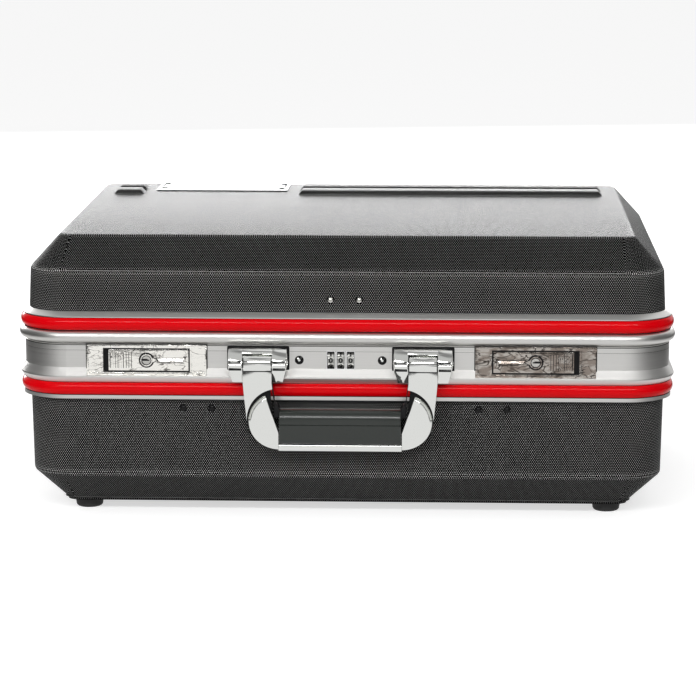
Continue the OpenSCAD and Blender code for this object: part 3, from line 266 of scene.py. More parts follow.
finish_of_slot = {
    "shell_abs": grained_black_abs(),
    "frame_aluminium": satin_anodised_aluminium(),
    # extruded PVC bead: saturated red, glossy, with a faint waviness along its length
    "trim_red": one_noise("glossy_red_pvc", 45.0, 2.0, ("C20008", "CE000B"), 0.12,
                          {"Specular IOR Level": 0.11}, relief=(0.15, 0.0004)),
    # moulded rubber: near black and dull, with a fine dusty grain
    "foot_rubber": one_noise("moulded_black_rubber", 900.0, 3.0, ("141414", "252525"), 0.72,
                             {"IOR": 1.5}, relief=(0.3, 0.0002)),
    # pressed sheet with bright zinc: pale, slightly mottled and half rough
    "zinc_steel": one_noise("zinc_plated_steel", 220.0, 4.0, ("A9ACAF", "CBCDCF"), (0.26, 0.42), metal),
    # stove lacquer on a steel rivet: black with a tight highlight and slight orange peel
    "rivet_black": one_noise("black_lacquered_steel", 1400.0, 1.0, ("060606", "0D0D0E"), 0.1,
                             {"Specular IOR Level": 0.2}, relief=(0.15, 0.0001)),
    # chrome over a zinc casting: mirror bright with light and dark bands, and a faint buffing haze
    "chrome": one_noise("polished_chrome", 160.0, 3.0, ("E4E5E2",), (0.04, 0.09), metal, relief=(0.05, 0.0003)),
    # nickel plate, brushed before plating: a warm grey with a soft highlight
    "brushed_nickel": one_noise("satin_nickel", 700.0, 2.0, ("B9B7B2", "D3D2CE"), 0.27, metal),
    # blackened sheet steel: dark and half dull, as behind the wheels
    "black_steel": one_noise("satin_black_steel", 300.0, 3.0, ("0C0C0D", "171718"), 0.45,
                             {"Specular IOR Level": 0.15}),
    # nickel plate on a die cast wheel: bright, with fine turning marks round it
    "wheel_nickel": one_noise("nickel_plated_wheel", 1.0, 2.0, ("A2A29F", "BEBEBA"), 0.3, metal,
                              run=(5000.0, 300.0, 300.0)),
    "lock_nickel": pressed_lock_nickel(),
    # moulded grip: dark grey with a spark eroded satin that keeps one long soft highlight
    "grip_plastic": one_noise("satin_grip_plastic", 1500.0, 3.0, ("1E221F", "292D2A"), 0.22,
                              {"Specular IOR Level": 0.5}, relief=(0.25, 0.00012)),
    # bare sheet brushed along its length: bright, with fine long scratches
    "plate_aluminium": one_noise("bare_brushed_aluminium", 1.0, 3.0, ("CFD0D1", "E9E9E9"), (0.34, 0.46), metal,
                                 run=(20.0, 2600.0, 2600.0)),
    "board_black": textured_board_plastic()}

# black enamel wiped into the digits: flat, slightly uneven
digit_finish = one_noise("black_digit_paint", 900.0, 2.0, ("0B0B0B", "171717"), 0.5, {"IOR": 1.5})


for part in frame["record"]["subparts"]:
    cad_node = frame["nodes"][part["node"]]
    cad_node.data.materials.clear()
    cad_node.data.materials.append(finish_of_slot[part["material_slot"]])


# ---------------------------------------------------------------- modelling steps

def alone(obj):
    """Makes obj the only selected and active object."""
    bpy.ops.object.select_all(action="DESELECT")
    obj.select_set(True)
    bpy.context.view_layer.objects.active = obj


def start(name):
    """Names the primitive just added and lays its place into its mesh."""
    obj = bpy.context.object
    obj.name = name
    alone(obj)
    bpy.ops.object.transform_apply(location=True, rotation=True, scale=True)
    return obj


def pick(obj, faces=None, edges=None, verts=None):
    """In edit mode, selects only what the given tests on faces, edges or vertices accept."""
    mode = (bool(verts), bool(edges), bool(faces))
    bpy.context.tool_settings.mesh_select_mode = mode
    bpy.ops.mesh.select_all(action="DESELECT")
    grid = bmesh.from_edit_mesh(obj.data)
    grid.normal_update()
    test = verts or edges or faces
    for item in (grid.verts if verts else grid.edges if edges else grid.faces):
        if test(item):
            item.select = True
    grid.select_flush_mode()
    bmesh.update_edit_mesh(obj.data)


def edge_mid(edge):
    return (edge.verts[0].co + edge.verts[1].co) / 2 / MM


def edge_run(edge):
    return (edge.verts[1].co - edge.verts[0].co).normalized()


def faces_front(face):
    return face.normal.y < -0.9


def faces_back(face):
    return face.normal.y > 0.9


def faces_end(face):
    return abs(face.normal.x) > 0.9


def runs_across(edge):
    return abs(edge_run(edge).x) > 0.9


def runs_in(edge):
    return abs(edge_run(edge).y) > 0.9


def runs_level(edge):
    return abs(edge_run(edge).z) < 0.01


def bevel(width, segments):
    """Rounds the picked edges, in millimetres."""
    bpy.ops.mesh.bevel(offset=width * MM, segments=segments, affect="EDGES")


def inset(thickness, depth=0.0, **settings):
    """Insets the picked faces, in millimetres."""
    bpy.ops.mesh.inset(thickness=thickness * MM, depth=depth * MM, **settings)


def drop_faces():
    bpy.ops.mesh.delete(type="FACE")


def face_out():
    """Turns every face in edit mode outward."""
    bpy.ops.mesh.select_all(action="SELECT")
    bpy.ops.mesh.normals_make_consistent(inside=False)


def apply_modifier(obj, kind, **settings):
    """Adds one modifier and applies it."""
    alone(obj)
    made = obj.modifiers.new(kind.title(), kind)
    for name, value in settings.items():
        setattr(made, name, value)
    bpy.ops.object.modifier_apply(modifier=made.name)


def finished(obj, body, slot, *nodes, angle=30, finish=None):
    """Closes a piece: outward normals, smooth shading below an angle, finish, body and what it replaces. The finish
    is that of its slot unless another is given."""
    alone(obj)
    bpy.ops.object.mode_set(mode="EDIT")
    bpy.ops.mesh.select_all(action="SELECT")
    bpy.ops.mesh.remove_doubles(threshold=0.000002)
    bpy.ops.mesh.normals_make_consistent(inside=False)
    bpy.ops.object.mode_set(mode="OBJECT")
    bpy.ops.object.shade_smooth_by_angle(angle=math.radians(angle))
    obj.data.materials.clear()
    obj.data.materials.append(finish or finish_of_slot[slot])
    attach(obj, body)
    if nodes:
        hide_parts(*nodes)
    return obj


# ---------------------------------------------------------------- edges of the solids

def soften(node, width, angle=32, segments=2):
    """Rounds the sharp edges of a solid by modifiers and shades the rest of it smooth."""
    obj = frame["nodes"][node]
    alone(obj)
    bpy.ops.object.shade_smooth()
    weld = obj.modifiers.new("weld", "WELD")
    weld.merge_threshold = 0.004 * MM
    edge = obj.modifiers.new("edge", "BEVEL")
    edge.limit_method = "ANGLE"
    edge.angle_limit = math.radians(angle)
    edge.width = width * MM
    edge.segments = segments
    edge.harden_normals = True
    edge.miter_outer = "MITER_ARC"


rounding_of = {
    0.15: ("slider_left", "slider_right", "hook_left", "hook_right", "number_wheel_1", "number_wheel_2",
           "number_wheel_3"),
    0.2: ("keepers", "pallet_rests", "board_clips", "lock_case_left", "lock_case_right", "combination_housing"),
    0.25: ("lock_plate_left", "lock_plate_right", "name_plate"),
    0.3: ("hinge_leaves_base", "hinge_leaves_lid"),
    0.4: ("bracket_left", "bracket_right"),
    0.5: ("feet",),
    0.6: ("lid_board",)}
for width, nodes in rounding_of.items():
    for node in nodes:
        soften(node, width)


# ---------------------------------------------------------------- shells

def ring(name, inset, radius, z, steps=10):
    """A flat plan of the case at one height, with rounded corners."""
    bpy.ops.mesh.primitive_plane_add(size=1, location=(0, 0, z * MM))
    bpy.context.object.scale = (2 * (half_w - inset) * MM, 2 * (half_d - inset) * MM, 1)
    obj = start(name)
    bpy.ops.object.mode_set(mode="EDIT")
    bpy.ops.mesh.select_all(action="SELECT")
    bpy.ops.mesh.bevel(offset=radius * MM, segments=steps, affect="VERTICES")
    bpy.ops.object.mode_set(mode="OBJECT")
    return obj


def along_wall(face, p, radius=32.0):
    """Distance round the case from the middle of the front, in millimetres, for a point of the face."""
    middle = face.center / MM
    cx, cy = half_w - corner_r, half_d - corner_r
    quarter = radius * math.pi / 2
    side = 1 if middle.x > 0 else -1
    if abs(middle.x) <= cx:
        return p.x if middle.y < 0 else 3 * cx + 2 * cy + 2 * quarter - p.x
    if abs(middle.y) <= cy:
        return side * (cx + quarter + cy + p.y)
    turn = math.atan2(max(abs(p.x) - cx, 0.0), max(abs(p.y) - cy, 0.0))
    return side * (cx + radius * turn if middle.y < 0 else cx + 2 * cy + 2 * quarter - radius * turn)


def along_box(face, p):
    """Distance along the side of a small block, for a point of the face."""
    return p.y if abs(face.normal.x) > abs(face.normal.y) else p.x


def lay_grain(obj, along):
    """Lays the grain map in millimetres: along the wall and up its slope, or flat on top and below."""
    mesh = obj.data
    layer = mesh.uv_layers.new(name="grain")
    for face in mesh.polygons:
        n = face.normal
        for loop in face.loop_indices:
            p = mesh.vertices[mesh.loops[loop].vertex_index].co / MM
            if abs(n.z) > 0.9:
                layer.data[loop].uv = (p.x, p.y)
            else:
                layer.data[loop].uv = (along(face, p), p.z / math.sqrt(1 - n.z * n.z))


def shell(name, rings, ridge_r, wall=3.0):
    """Joins plans, each an inset, a corner radius and a height, from the rim to the flat, rounds the ridges between
    them and gives the wall its thickness."""
    loops = [ring(name + "_plan", *r) for r in rings]
    for obj in loops[:-1]:
        alone(obj)
        bpy.ops.object.mode_set(mode="EDIT")
        bpy.ops.mesh.select_all(action="SELECT")
        bpy.ops.mesh.delete(type="ONLY_FACE")
        bpy.ops.object.mode_set(mode="OBJECT")
    alone(loops[-1])
    for obj in loops:
        obj.select_set(True)
    bpy.ops.object.join()
    obj = bpy.context.object
    obj.name = name
    bpy.ops.object.mode_set(mode="EDIT")
    heights = [r[2] for r in rings]
    for low, high in zip(heights[:-1], heights[1:]):
        pick(obj, edges=lambda e: (e.is_boundary or e.is_wire or len(e.link_faces) < 2)
             and min(abs(edge_mid(e).z - low), abs(edge_mid(e).z - high)) < 0.01
             and runs_level(e))
        bpy.ops.mesh.bridge_edge_loops()
    # softened ridge and edge of the flat
    inner = heights[1:]
    pick(obj, edges=lambda e: min(abs(edge_mid(e).z - h) for h in inner) < 0.01 and runs_level(e))
    bevel(ridge_r, 3)
    bpy.ops.mesh.select_all(action="SELECT")
    bpy.ops.mesh.remove_doubles(threshold=0.00001)
    bpy.ops.mesh.normals_make_consistent(inside=False)
    bpy.ops.object.mode_set(mode="OBJECT")
    apply_modifier(obj, "SOLIDIFY", thickness=wall * MM, offset=-1.0)
    return obj


base_skin = shell("base_shell_skin", [(4.0, 32.0, z_lip + 10), (4.0, 32.0, z_lip), (5.3, 30.7, z_low_ridge),
                                      (29.9, 10.0, z_floor)], 1.6)
finished(base_skin, "base", "shell_abs", "base_shell")
lay_grain(base_skin, along_wall)

lid_skin = shell("lid_shell_skin", [(3.6, 32.4, z_rim2 - 10), (3.6, 32.4, z_rim2), (4.9, 31.1, z_top_ridge),
                                    (28.1, 10.0, z_top)], 1.6)
finished(lid_skin, "lid", "shell_abs", "lid_shell")
lay_grain(lid_skin, along_wall)


# ---------------------------------------------------------------- ribs on the lid

rib_rows = (88.0, 117.0)
rib_runs = {"long": (-51.0, 209.0), "short": (-209.0, -182.0)}


def lid_rib(name, x0, x1, y0, width=18.0, height=3.8):
    """A raised rib with sloping sides and longer run-outs at its ends."""
    bpy.ops.mesh.primitive_cube_add(size=1, location=((x0 + x1) / 2 * MM, (y0 + width / 2) * MM,
                                                     (z_top - 0.4 + height / 2 + 0.2) * MM))
    bpy.context.object.scale = ((x1 - x0) * MM, width * MM, (height + 0.4) * MM)
    obj = start(name)
    bpy.ops.object.mode_set(mode="EDIT")
    pick(obj, faces=lambda f: f.normal.z > 0.5)
    length = x1 - x0
    bpy.ops.transform.resize(value=((length - 8) / length, (width - 2) / width, 1))
    pick(obj, edges=lambda e: edge_mid(e).z > z_top + 1)
    bevel(0.5, 3)
    bpy.ops.object.mode_set(mode="OBJECT")
    finished(obj, "lid", "shell_abs", angle=40)
    lay_grain(obj, along_box)


for row, y0 in enumerate(rib_rows):
    for run, (x0, x1) in rib_runs.items():
        lid_rib(f"lid_rib_{run}_{row + 1}", x0, x1, y0)


# ---------------------------------------------------------------- starts and cuts

def front(u):
    """The y of a place u millimetres in front of the band."""
    return -(half_d + u)


def block(name, low, high):
    """A cube between two corners in millimetres, as the start of one piece."""
    bpy.ops.mesh.primitive_cube_add(size=1, location=[(a + b) / 2 * MM for a, b in zip(low, high)])
    bpy.context.object.scale = [abs(b - a) * MM for a, b in zip(low, high)]
    return start(name)


def disc(name, x, u, z, radius, sides=96):
    """A filled circle that faces the front, as the start of one piece."""
    bpy.ops.mesh.primitive_circle_add(vertices=sides, radius=radius * MM, fill_type="NGON",
                                      location=(x * MM, front(u) * MM, z * MM), rotation=(math.pi / 2, 0, 0))
    return start(name)


def barrel(name, x, u, z, radius, length, sides):
    """A cylinder that lies across the case, as the start of one piece."""
    bpy.ops.mesh.primitive_cylinder_add(vertices=sides, radius=radius * MM, depth=length * MM,
                                        location=(x * MM, front(u) * MM, z * MM), rotation=(0, math.pi / 2, 0))
    return start(name)


def open_up(obj):
    """Goes into edit mode with everything of obj selected."""
    alone(obj)
    bpy.ops.object.mode_set(mode="EDIT")
    bpy.ops.mesh.select_all(action="SELECT")


def close_up():
    bpy.ops.object.mode_set(mode="OBJECT")


def cut(co, no, **settings):
    """Bisects all that is in edit mode by a plane, in millimetres."""
    bpy.ops.mesh.select_all(action="SELECT")
    bpy.ops.mesh.bisect(plane_co=[c * MM for c in co], plane_no=no, **settings)


def move(x=0.0, y=0.0, z=0.0):
    bpy.ops.transform.translate(value=(x * MM, y * MM, z * MM))


def push(y):
    """Extrudes the picked faces along y."""
    bpy.ops.mesh.extrude_region_move(TRANSFORM_OT_translate={"value": (0, y * MM, 0)})


def joined(name, *parts):
    """Joins parts into one object."""
    alone(parts[0])
    for part in parts:
        part.select_set(True)
    bpy.ops.object.join()
    bpy.context.object.name = name
    return bpy.context.object


def mirror_copy(obj, name, x):
    """A copy with its own mesh, mirrored across the plane at x."""
    alone(obj)
    bpy.ops.object.duplicate()
    copy = bpy.context.object
    copy.name = name
    open_up(copy)
    bpy.ops.transform.resize(value=(-1, 1, 1), center_override=(x * MM, 0, 0))
    close_up()
    return copy


# ---------------------------------------------------------------- handle

pivot_u, pivot_z = 9.3, 124.9
arm_front, arm_back, handle_back = 14.8, 7.8, 3.8
corner_x, corner_z, handle_corner_r = 47.1, 82.1, 24.4
handle_foot = 57.7
arm_x = 63.2  # middle of the arms and their brackets
shoulder_z, arm_top_z = 119.4, 110.3
arm_levels, arm_lean = (98.0, 88.1), (-1.6, -5.1)  # how far its inner side leans in at two heights
plate_back, plate_front = 9.9, 10.5
grip_end, grip_foot = 46.5, 63.0
ear_middles, knuckle_ends = (-16.7, 16.7), (-11.16, 11.16)
grip_crease, grip_waist = (79.3, 78.9, 78.5), 70.0


def handle_arm():
    """A flat arm that leans in towards the corner, with the round step cut out of its lower end."""
    arm = block("handle_arm_right", (fx + 52.2, front(arm_front), corner_z), (fx + 74.2, front(arm_back), pivot_z))
    open_up(arm)
    for z in (arm_top_z, *arm_levels):
        cut((0, 0, z), (0, 0, 1))
    for z, inner, outer in zip((*arm_levels, corner_z), (*arm_lean, arm_lean[-1]), (-1.1, -2.2, -2.7)):
        pick(arm, verts=lambda v: abs(v.co.z / MM - z) < 0.1 and v.co.x / MM < fx + 62)
        move(x=inner)
        pick(arm, verts=lambda v: abs(v.co.z / MM - z) < 0.1 and v.co.x / MM > fx + 62)
        move(x=outer)
    close_up()
    round_end = disc("round_end", fx + corner_x, arm_back - 2, corner_z, handle_corner_r - 0.1)
    open_up(round_end)
    push(-(arm_front - arm_back + 4))
    face_out()
    close_up()
    apply_modifier(arm, "BOOLEAN", operation="DIFFERENCE", object=round_end, solver="EXACT")
    bpy.data.objects.remove(round_end)
    apply_modifier(arm, "BEVEL", width=0.9 * MM, segments=3, limit_method="ANGLE", angle_limit=math.radians(35))
    return finished(arm, "handle", "chrome")


def arm_edge():
    """A black strip along the inner side of the arm: painted shade, which shows as a thin dark line beside it."""
    strip = block("handle_arm_edge_right", (fx + 51.8, front(14.3), arm_levels[-1]),
                  (fx + 52.5, front(8.4), shoulder_z))
    open_up(strip)
    for z in (arm_top_z, arm_levels[0]):
        cut((0, 0, z), (0, 0, 1))
    for z, lean in zip(arm_levels, arm_lean):
        pick(strip, verts=lambda v: abs(v.co.z / MM - z) < 0.1)
        move(x=lean)
    close_up()
    return finished(strip, "handle", "black_steel")


def knuckle_line():
    """A black strip where the knuckle meets the arm: painted shade of the groove between them."""
    strip = block("handle_knuckle_line_right", (fx + 52.5, front(15.2), shoulder_z),
                  (fx + 73.9, front(14.0), 120.1))
    open_up(strip)
    pick(strip, edges=runs_across)
    bevel(0.15, 2)
    close_up()
    return finished(strip, "handle", "black_steel")


def handle_cheek():
    """The flat-topped dome in the round corner, narrower than it, so that a crescent stays under the arm."""
    bpy.ops.mesh.primitive_uv_sphere_add(segments=96, ring_count=48, radius=1,
                                         location=((fx + corner_x) * MM, front(9) * MM, (corner_z - 1.5) * MM))
    bpy.context.object.scale = (24.2 * MM, 8.5 * MM, 22.7 * MM)
    dome = start("handle_cheek_right")
    open_up(dome)
    cut((0, front(9), 0), (0, -1, 0), clear_inner=True, use_fill=True)
    cut((0, front(13.2), 0), (0, -1, 0), clear_outer=True, use_fill=True)
    cut((fx + 47.8, 0, 73), (0.946, 0, -0.325), clear_inner=True, use_fill=True)
    cut((fx + 47.3, 0, 0), (1, 0, 0), clear_inner=True, use_fill=True)
    face_out()
    pick(dome, faces=lambda f: f.normal.y < -0.99)
    inset(0.5)
    close_up()
    return finished(dome, "handle", "chrome", angle=38)


def corner_plate(name, near, far, slot):
    """The half disc under the dome, between two distances from the band."""
    plate = disc(name, fx + corner_x, near, corner_z, handle_corner_r - 0.1)
    open_up(plate)
    push(-(far - near))
    cut((fx + 51.0, 0, 77), (0.996, 0, -0.088), clear_inner=True, use_fill=True)
    face_out()
    close_up()
    return finished(plate, "handle", slot, angle=45)


def handle_knuckle():
    """The barrel of the arm round its pin, with turned-down ends."""
    knuckle = barrel("handle_knuckle_right", fx + arm_x, pivot_u, pivot_z, 7.5, 22, 72)
    open_up(knuckle)
    pick(knuckle, faces=faces_end)
    inset(0.5, 0.5, use_individual=True)
    inset(4.4, use_individual=True)
    inset(0.05, -1.5, use_individual=True)
    close_up()
    return finished(knuckle, "handle", "chrome", angle=50)


for piece in (handle_arm(), handle_cheek(), handle_knuckle(),
              corner_plate("handle_corner_right", handle_back, plate_back, "chrome")):
    twin = mirror_copy(piece, piece.name.replace("right", "left"), fx)
    finished(twin, "handle", "chrome", angle=45)
# black pieces of painted shade: the pocket floor of the crescent under each arm, a strip along the inner side of
# each arm and a line under each knuckle
for piece in (corner_plate("handle_pocket_right", plate_back, plate_front, "black_steel"),
              arm_edge(), knuckle_line()):
    twin = mirror_copy(piece, piece.name.replace("right", "left"), fx)
    finished(twin, "handle", "black_steel")

rim_bar = block("handle_rim_bar", (fx - corner_x, front(13.8), handle_foot),
                (fx + corner_x, front(handle_back), handle_foot + 5.2))
open_up(rim_bar)
pick(rim_bar, edges=runs_across)
bevel(1.1, 4)
close_up()
finished(rim_bar, "handle", "chrome", "handle_frame", angle=40)


def grip():
    """The grip: a full round back, slimmer below a moulded crease, with turned-in ends."""
    body = block("handle_grip_moulded", (fx - grip_end, front(18.3), grip_foot), (fx + grip_end, front(1.1), 90.6))
    open_up(body)
    pick(body, edges=lambda e: edge_mid(e).z > 90 and runs_across(e))
    bevel(8.5, 12)
    for z in (*grip_crease, grip_waist):
        cut((0, 0, z), (0, 0, 1))
    for z, narrow in zip((*grip_crease[1:], grip_waist, grip_foot), (0.93, 0.97, 0.86, 0.62)):
        pick(body, verts=lambda v: abs(v.co.z / MM - z) < 0.05)
        bpy.ops.transform.resize(value=(1, narrow, 1), center_override=(0, front(9.4) * MM, 0))
    pick(body, edges=lambda e: abs(edge_mid(e).z - grip_foot) < 0.1 and runs_across(e))
    bevel(2.2, 4)
    pick(body, faces=lambda f: abs(f.normal.x) > 0.95)
    inset(0.7)
    pick(body, edges=lambda e: abs(abs(edge_mid(e).x - fx) - grip_end) < 0.01 and not e.is_boundary
         and len({round(f.normal.x, 1) for f in e.link_faces}) > 1)
    bevel(0.6, 2)
    close_up()
    return finished(body, "handle", "grip_plastic", "handle_grip", angle=28)


grip()


def ferrule():
    """A black tang cover that tapers up between the grip and the arm."""
    cap = block("grip_ferrule_right", (fx + 43.5, front(15.2), 84.0), (fx + 50.6, front(5.0), 94.5))
    open_up(cap)
    pick(cap, faces=lambda f: f.normal.z > 0.9)
    bpy.ops.transform.resize(value=(0.35, 0.8, 1), center_override=((fx + 50.6) * MM, front(10) * MM, 0))
    bpy.ops.mesh.select_all(action="SELECT")
    bevel(0.8, 3)
    close_up()
    return finished(cap, "handle", "black_steel", angle=40)


finished(mirror_copy(ferrule(), "grip_ferrule_left", fx), "handle", "black_steel", angle=40)


# ---------------------------------------------------------------- black sheets and strips of painted shade at the brackets, and the beads of their ears

shade_sheet_half_w, shade_sheet_foot, shade_sheet_head = 23.9, 116.0, 137.2
groove_half_w, groove_rise = 4.8, 0.55


def bracket_seat(x, side):
    """A black sheet under the bracket: painted shade that draws a thin dark line round it, in the gap between
    bracket and band.
    """
    shade_sheet = block(f"bracket_seat_{side}", (x - shade_sheet_half_w, front(0.6), shade_sheet_foot),
                 (x + shade_sheet_half_w, front(0.02), shade_sheet_head))
    open_up(shade_sheet)
    pick(shade_sheet, edges=lambda e: runs_in(e) and edge_mid(e).z > 137)
    bevel(1.6, 4)
    close_up()
    finished(shade_sheet, "base", "black_steel", angle=40)


def knuckle_washers(x, side):
    """Thin black rings between the bracket's ears and the knuckle of the handle: painted shade of the gaps there."""
    made = []
    for end in knuckle_ends:
        gap_shade = barrel(f"knuckle_washers_{side}", x + end, pivot_u, pivot_z, 8.2, 0.24, 48)
        open_up(gap_shade)
        pick(gap_shade, faces=faces_end)
        inset(5.4, use_individual=True)
        bpy.ops.mesh.bridge_edge_loops()
        close_up()
        made.append(gap_shade)
    finished(joined(f"knuckle_washers_{side}", *made), "base", "black_steel", angle=40)


def ear_beads(x, side):
    """A round bead cast across each ear of the bracket, in front of the pin."""
    made = []
    for middle in ear_middles:
        bead = barrel(f"bracket_beads_{side}", x + middle, 15.7, 124.5, 2.4, 9.4, 48)
        open_up(bead)
        pick(bead, faces=faces_end)
        inset(0.5, 0.15, use_individual=True)
        close_up()
        made.append(bead)
    finished(joined(f"bracket_beads_{side}", *made), "base", "chrome", angle=50)


def ear_grooves(x, side):
    """Black strips above and below the beads: painted shade of the grooves there."""
    made = []
    for middle in ear_middles:
        for u, z in ((16.9, 127.7), (16.6, 121.3)):
            groove = block(f"bracket_grooves_{side}", (x + middle - groove_half_w, front(u + 0.4), z - groove_rise),
                           (x + middle + groove_half_w, front(u - 0.4), z + groove_rise))
            open_up(groove)
            pick(groove, edges=runs_across)
            bevel(0.15, 2)
            close_up()
            made.append(groove)
    finished(joined(f"bracket_grooves_{side}", *made), "base", "black_steel")


for x, side in ((fx - arm_x, "left"), (fx + arm_x, "right")):
    bracket_seat(x, side)
    ear_beads(x, side)
    ear_grooves(x, side)
    knuckle_washers(x, side)


# ---------------------------------------------------------------- locks

# the middle of each lock, which way its outer end lies, and its side
lock_places = ((-152.0, -1, "left"), (146.0, 1, "right"))
lock_z = 125.7
lock_shade_half_w, lock_shade_below, lock_shade_above = 46.8, 13.4, 12.2
opening_half_w, opening_half_h = 33.4, 9.35  # the slider's window
pointer_x = 5.9
groove_half_h = 6.3


def lock_gasket(x, side):
    """A black sheet under the lock plate: painted shade that shows as a thin dark line round it and round the
    slider.
    """
    sheet = block(f"lock_gasket_{side}", (x - lock_shade_half_w, front(0.5), lock_z - lock_shade_below),
                  (x + lock_shade_half_w, front(0.02), lock_z + lock_shade_above))
    open_up(sheet)
    pick(sheet, faces=faces_front)
    inset(0.3)
    inset(1.0, -0.3)
    close_up()
    finished(sheet, "base", "black_steel")


def close_lining(lining):
    """Sinks and drops the middle of a black frame of painted shade, and drops its back."""
    push(0.04)
    drop_faces()
    pick(lining, faces=faces_back)
    drop_faces()
    close_up()
    finished(lining, "base", "black_steel")


def window_lining(x, side):
    """The black line round the slider's window: painted shade of the gap, as a frame with its middle cut out."""
    lining = block(f"lock_window_lining_{side}", (x - opening_half_w, front(2.28), lock_z - opening_half_h),
                   (x + opening_half_w, front(2.22), lock_z + opening_half_h))
    open_up(lining)
    pick(lining, faces=faces_front)
    inset(1.0)
    close_lining(lining)


def pointer(name, x, out, side, near, far, reach, slot):
    """A triangle beside the key barrel that points to the middle of the case."""
    tip = disc(name, x - out * pointer_x, near, lock_z, reach, sides=3)
    open_up(tip)
    middle = ((x - out * pointer_x) * MM, front(near) * MM, lock_z * MM)
    bpy.ops.transform.rotate(value=math.pi / 2 * out, orient_axis="Y", center_override=middle)
    bpy.ops.transform.resize(value=(1.0, 1, 0.8), center_override=middle)
    push(-(far - near))
    close_up()
    finished(tip, f"lock_slide_{side}", slot)


def grip_ridges(x, out, side):
    """Black strips between the ridges at the outer end of the slider: painted shade of the grooves there."""
    low, high = sorted((x + out * 11.3, x + out * 11.75))
    line = block(f"lock_grooves_{side}", (low, front(2.08), lock_z - groove_half_h),
                 (high, front(1.98), lock_z + groove_half_h))
    open_up(line)
    pick(line, edges=runs_in)
    bevel(0.15, 2)
    close_up()
    apply_modifier(line, "ARRAY", count=9, use_relative_offset=False, use_constant_offset=True,
                   constant_offset_displace=(out * 2.05 * MM, 0, 0))
    finished(line, f"lock_slide_{side}", "black_steel")


def flat_torus(name, x, y, z, radius, thick, flat, sides):
    """A torus that faces the front, flattened along y, as the start of one piece."""
    bpy.ops.mesh.primitive_torus_add(major_segments=sides, minor_segments=8, major_radius=radius * MM,
                                     minor_radius=thick * MM, rotation=(math.pi / 2, 0, 0),
                                     location=(x * MM, y * MM, z * MM))
    torus = start(name)
    open_up(torus)
    bpy.ops.transform.resize(value=(1, flat, 1), center_override=(0, y * MM, 0))
    close_up()
    return torus


def black_ring(name, x, u, radius, thick, body):
    """A black ring round the key barrel: painted shade of the groove there."""
    finished(flat_torus(name, x, front(u), lock_z, radius, thick, 0.35, 48), body, "black_steel", angle=60)


def keyway(x, out, side):
    """A black slot on the plug: painted shade of the key slot, which runs from the middle of the plug towards the
    end of the case.
    """
    slot = block(f"keyway_{side}", (x - 0.9, front(2.68), lock_z - 0.5), (x + 3.4, front(2.62), lock_z + 1.1))
    open_up(slot)
    pick(slot, edges=runs_in)
    bevel(0.4, 3)
    pick(slot, faces=faces_front)
    inset(0.15)
    bpy.ops.mesh.select_all(action="SELECT")
    if out < 0:
        bpy.ops.transform.resize(value=(-1, 1, 1), center_override=(x * MM, 0, 0))
        face_out()
    close_up()
    finished(slot, f"key_{side}", "black_steel")


for x, out, side in lock_places:
    lock_gasket(x, side)
    window_lining(x, side)
    pointer(f"lock_pointer_line_{side}", x, out, side, 1.95, 2.1, 3.9, "black_steel")
    pointer(f"lock_pointer_{side}", x, out, side, 2.1, 2.35, 2.4, "lock_nickel")
    grip_ridges(x, out, side)
    black_ring(f"barrel_line_{side}", x, 2.05, 5.3, 0.65, f"lock_slide_{side}")
    black_ring(f"plug_line_{side}", x, 3.0, 3.6, 0.3, f"lock_slide_{side}")
    keyway(x, out, side)


# ---------------------------------------------------------------- number wheels

wheel_r, wheel_axis_u, wheel_z, wheel_pitch = 8.0, -7.0, 126.2, 7.6
slot_half_w, slot_half_h = 2.75, 6.7  # a wheel's window
rim_half_w, rim_half_h = 3.25, 7.2


def digit(number, x):
    """One digit, cut across so that it can follow the rim, bent round it and turned to its place."""
    bpy.ops.object.text_add(rotation=(math.pi / 2, 0, 0))
    text = bpy.context.object
    text.data.body = str(number)
    text.data.size = 5.4 * MM
    text.data.extrude = 0.03 * MM
    text.data.offset = 0.32 * MM
    text.data.align_x, text.data.align_y = "CENTER", "CENTER"
    bpy.ops.object.convert(target="MESH")
    mark = start(f"digit_{number}")
    low, high = min(c[2] for c in mark.bound_box), max(c[2] for c in mark.bound_box)
    open_up(mark)
    bpy.ops.transform.translate(value=(0, 0, -(low + high) / 2))
    bpy.ops.transform.resize(value=(1.15, 1, 0.85), center_override=(0, 0, 0))
    for step in range(-3, 4):
        cut((0, 0, step * 0.5), (0, 0, 1))
    close_up()
    apply_modifier(mark, "SIMPLE_DEFORM", deform_method="BEND", deform_axis="X",
                   angle=0.85 * (high - low) / (wheel_r * MM))
    open_up(mark)
    move(x, front(wheel_axis_u + wheel_r + 0.02), wheel_z)
    bpy.ops.transform.rotate(value=number * math.pi / 5, orient_axis="X",
                             center_override=(0, front(wheel_axis_u) * MM, wheel_z * MM))
    close_up()
    return mark


def wheel_digits(first_x, pitch):
    """The ten digits of the first wheel, 36 degrees apart with 0 in front, and their copies on the other two."""
    first = joined("wheel_1_digits", *[digit(number, first_x) for number in range(10)])
    finished(first, "wheel_1", "rivet_black", finish=digit_finish)
    for wheel in (2, 3):
        alone(first)
        bpy.ops.object.duplicate()
        copy = bpy.context.object
        copy.name = f"wheel_{wheel}_digits"
        open_up(copy)
        move(x=(wheel - 1) * pitch)
        close_up()
        finished(copy, f"wheel_{wheel}", "rivet_black", finish=digit_finish)


def window_line(number, x):
    """The black frame of one wheel window: painted shade of its recess, deeper above and below the wheel."""
    lining = block(f"wheel_window_line_{number}", (x - slot_half_w, front(0.0), wheel_z - slot_half_h),
                   (x + slot_half_w, front(-0.06), wheel_z + slot_half_h))
    open_up(lining)
    pick(lining, faces=faces_front)
    inset(0.3)
    bpy.ops.transform.resize(value=(1, 1, 0.86), center_override=(0, 0, (wheel_z + 1.2) * MM))
    close_lining(lining)


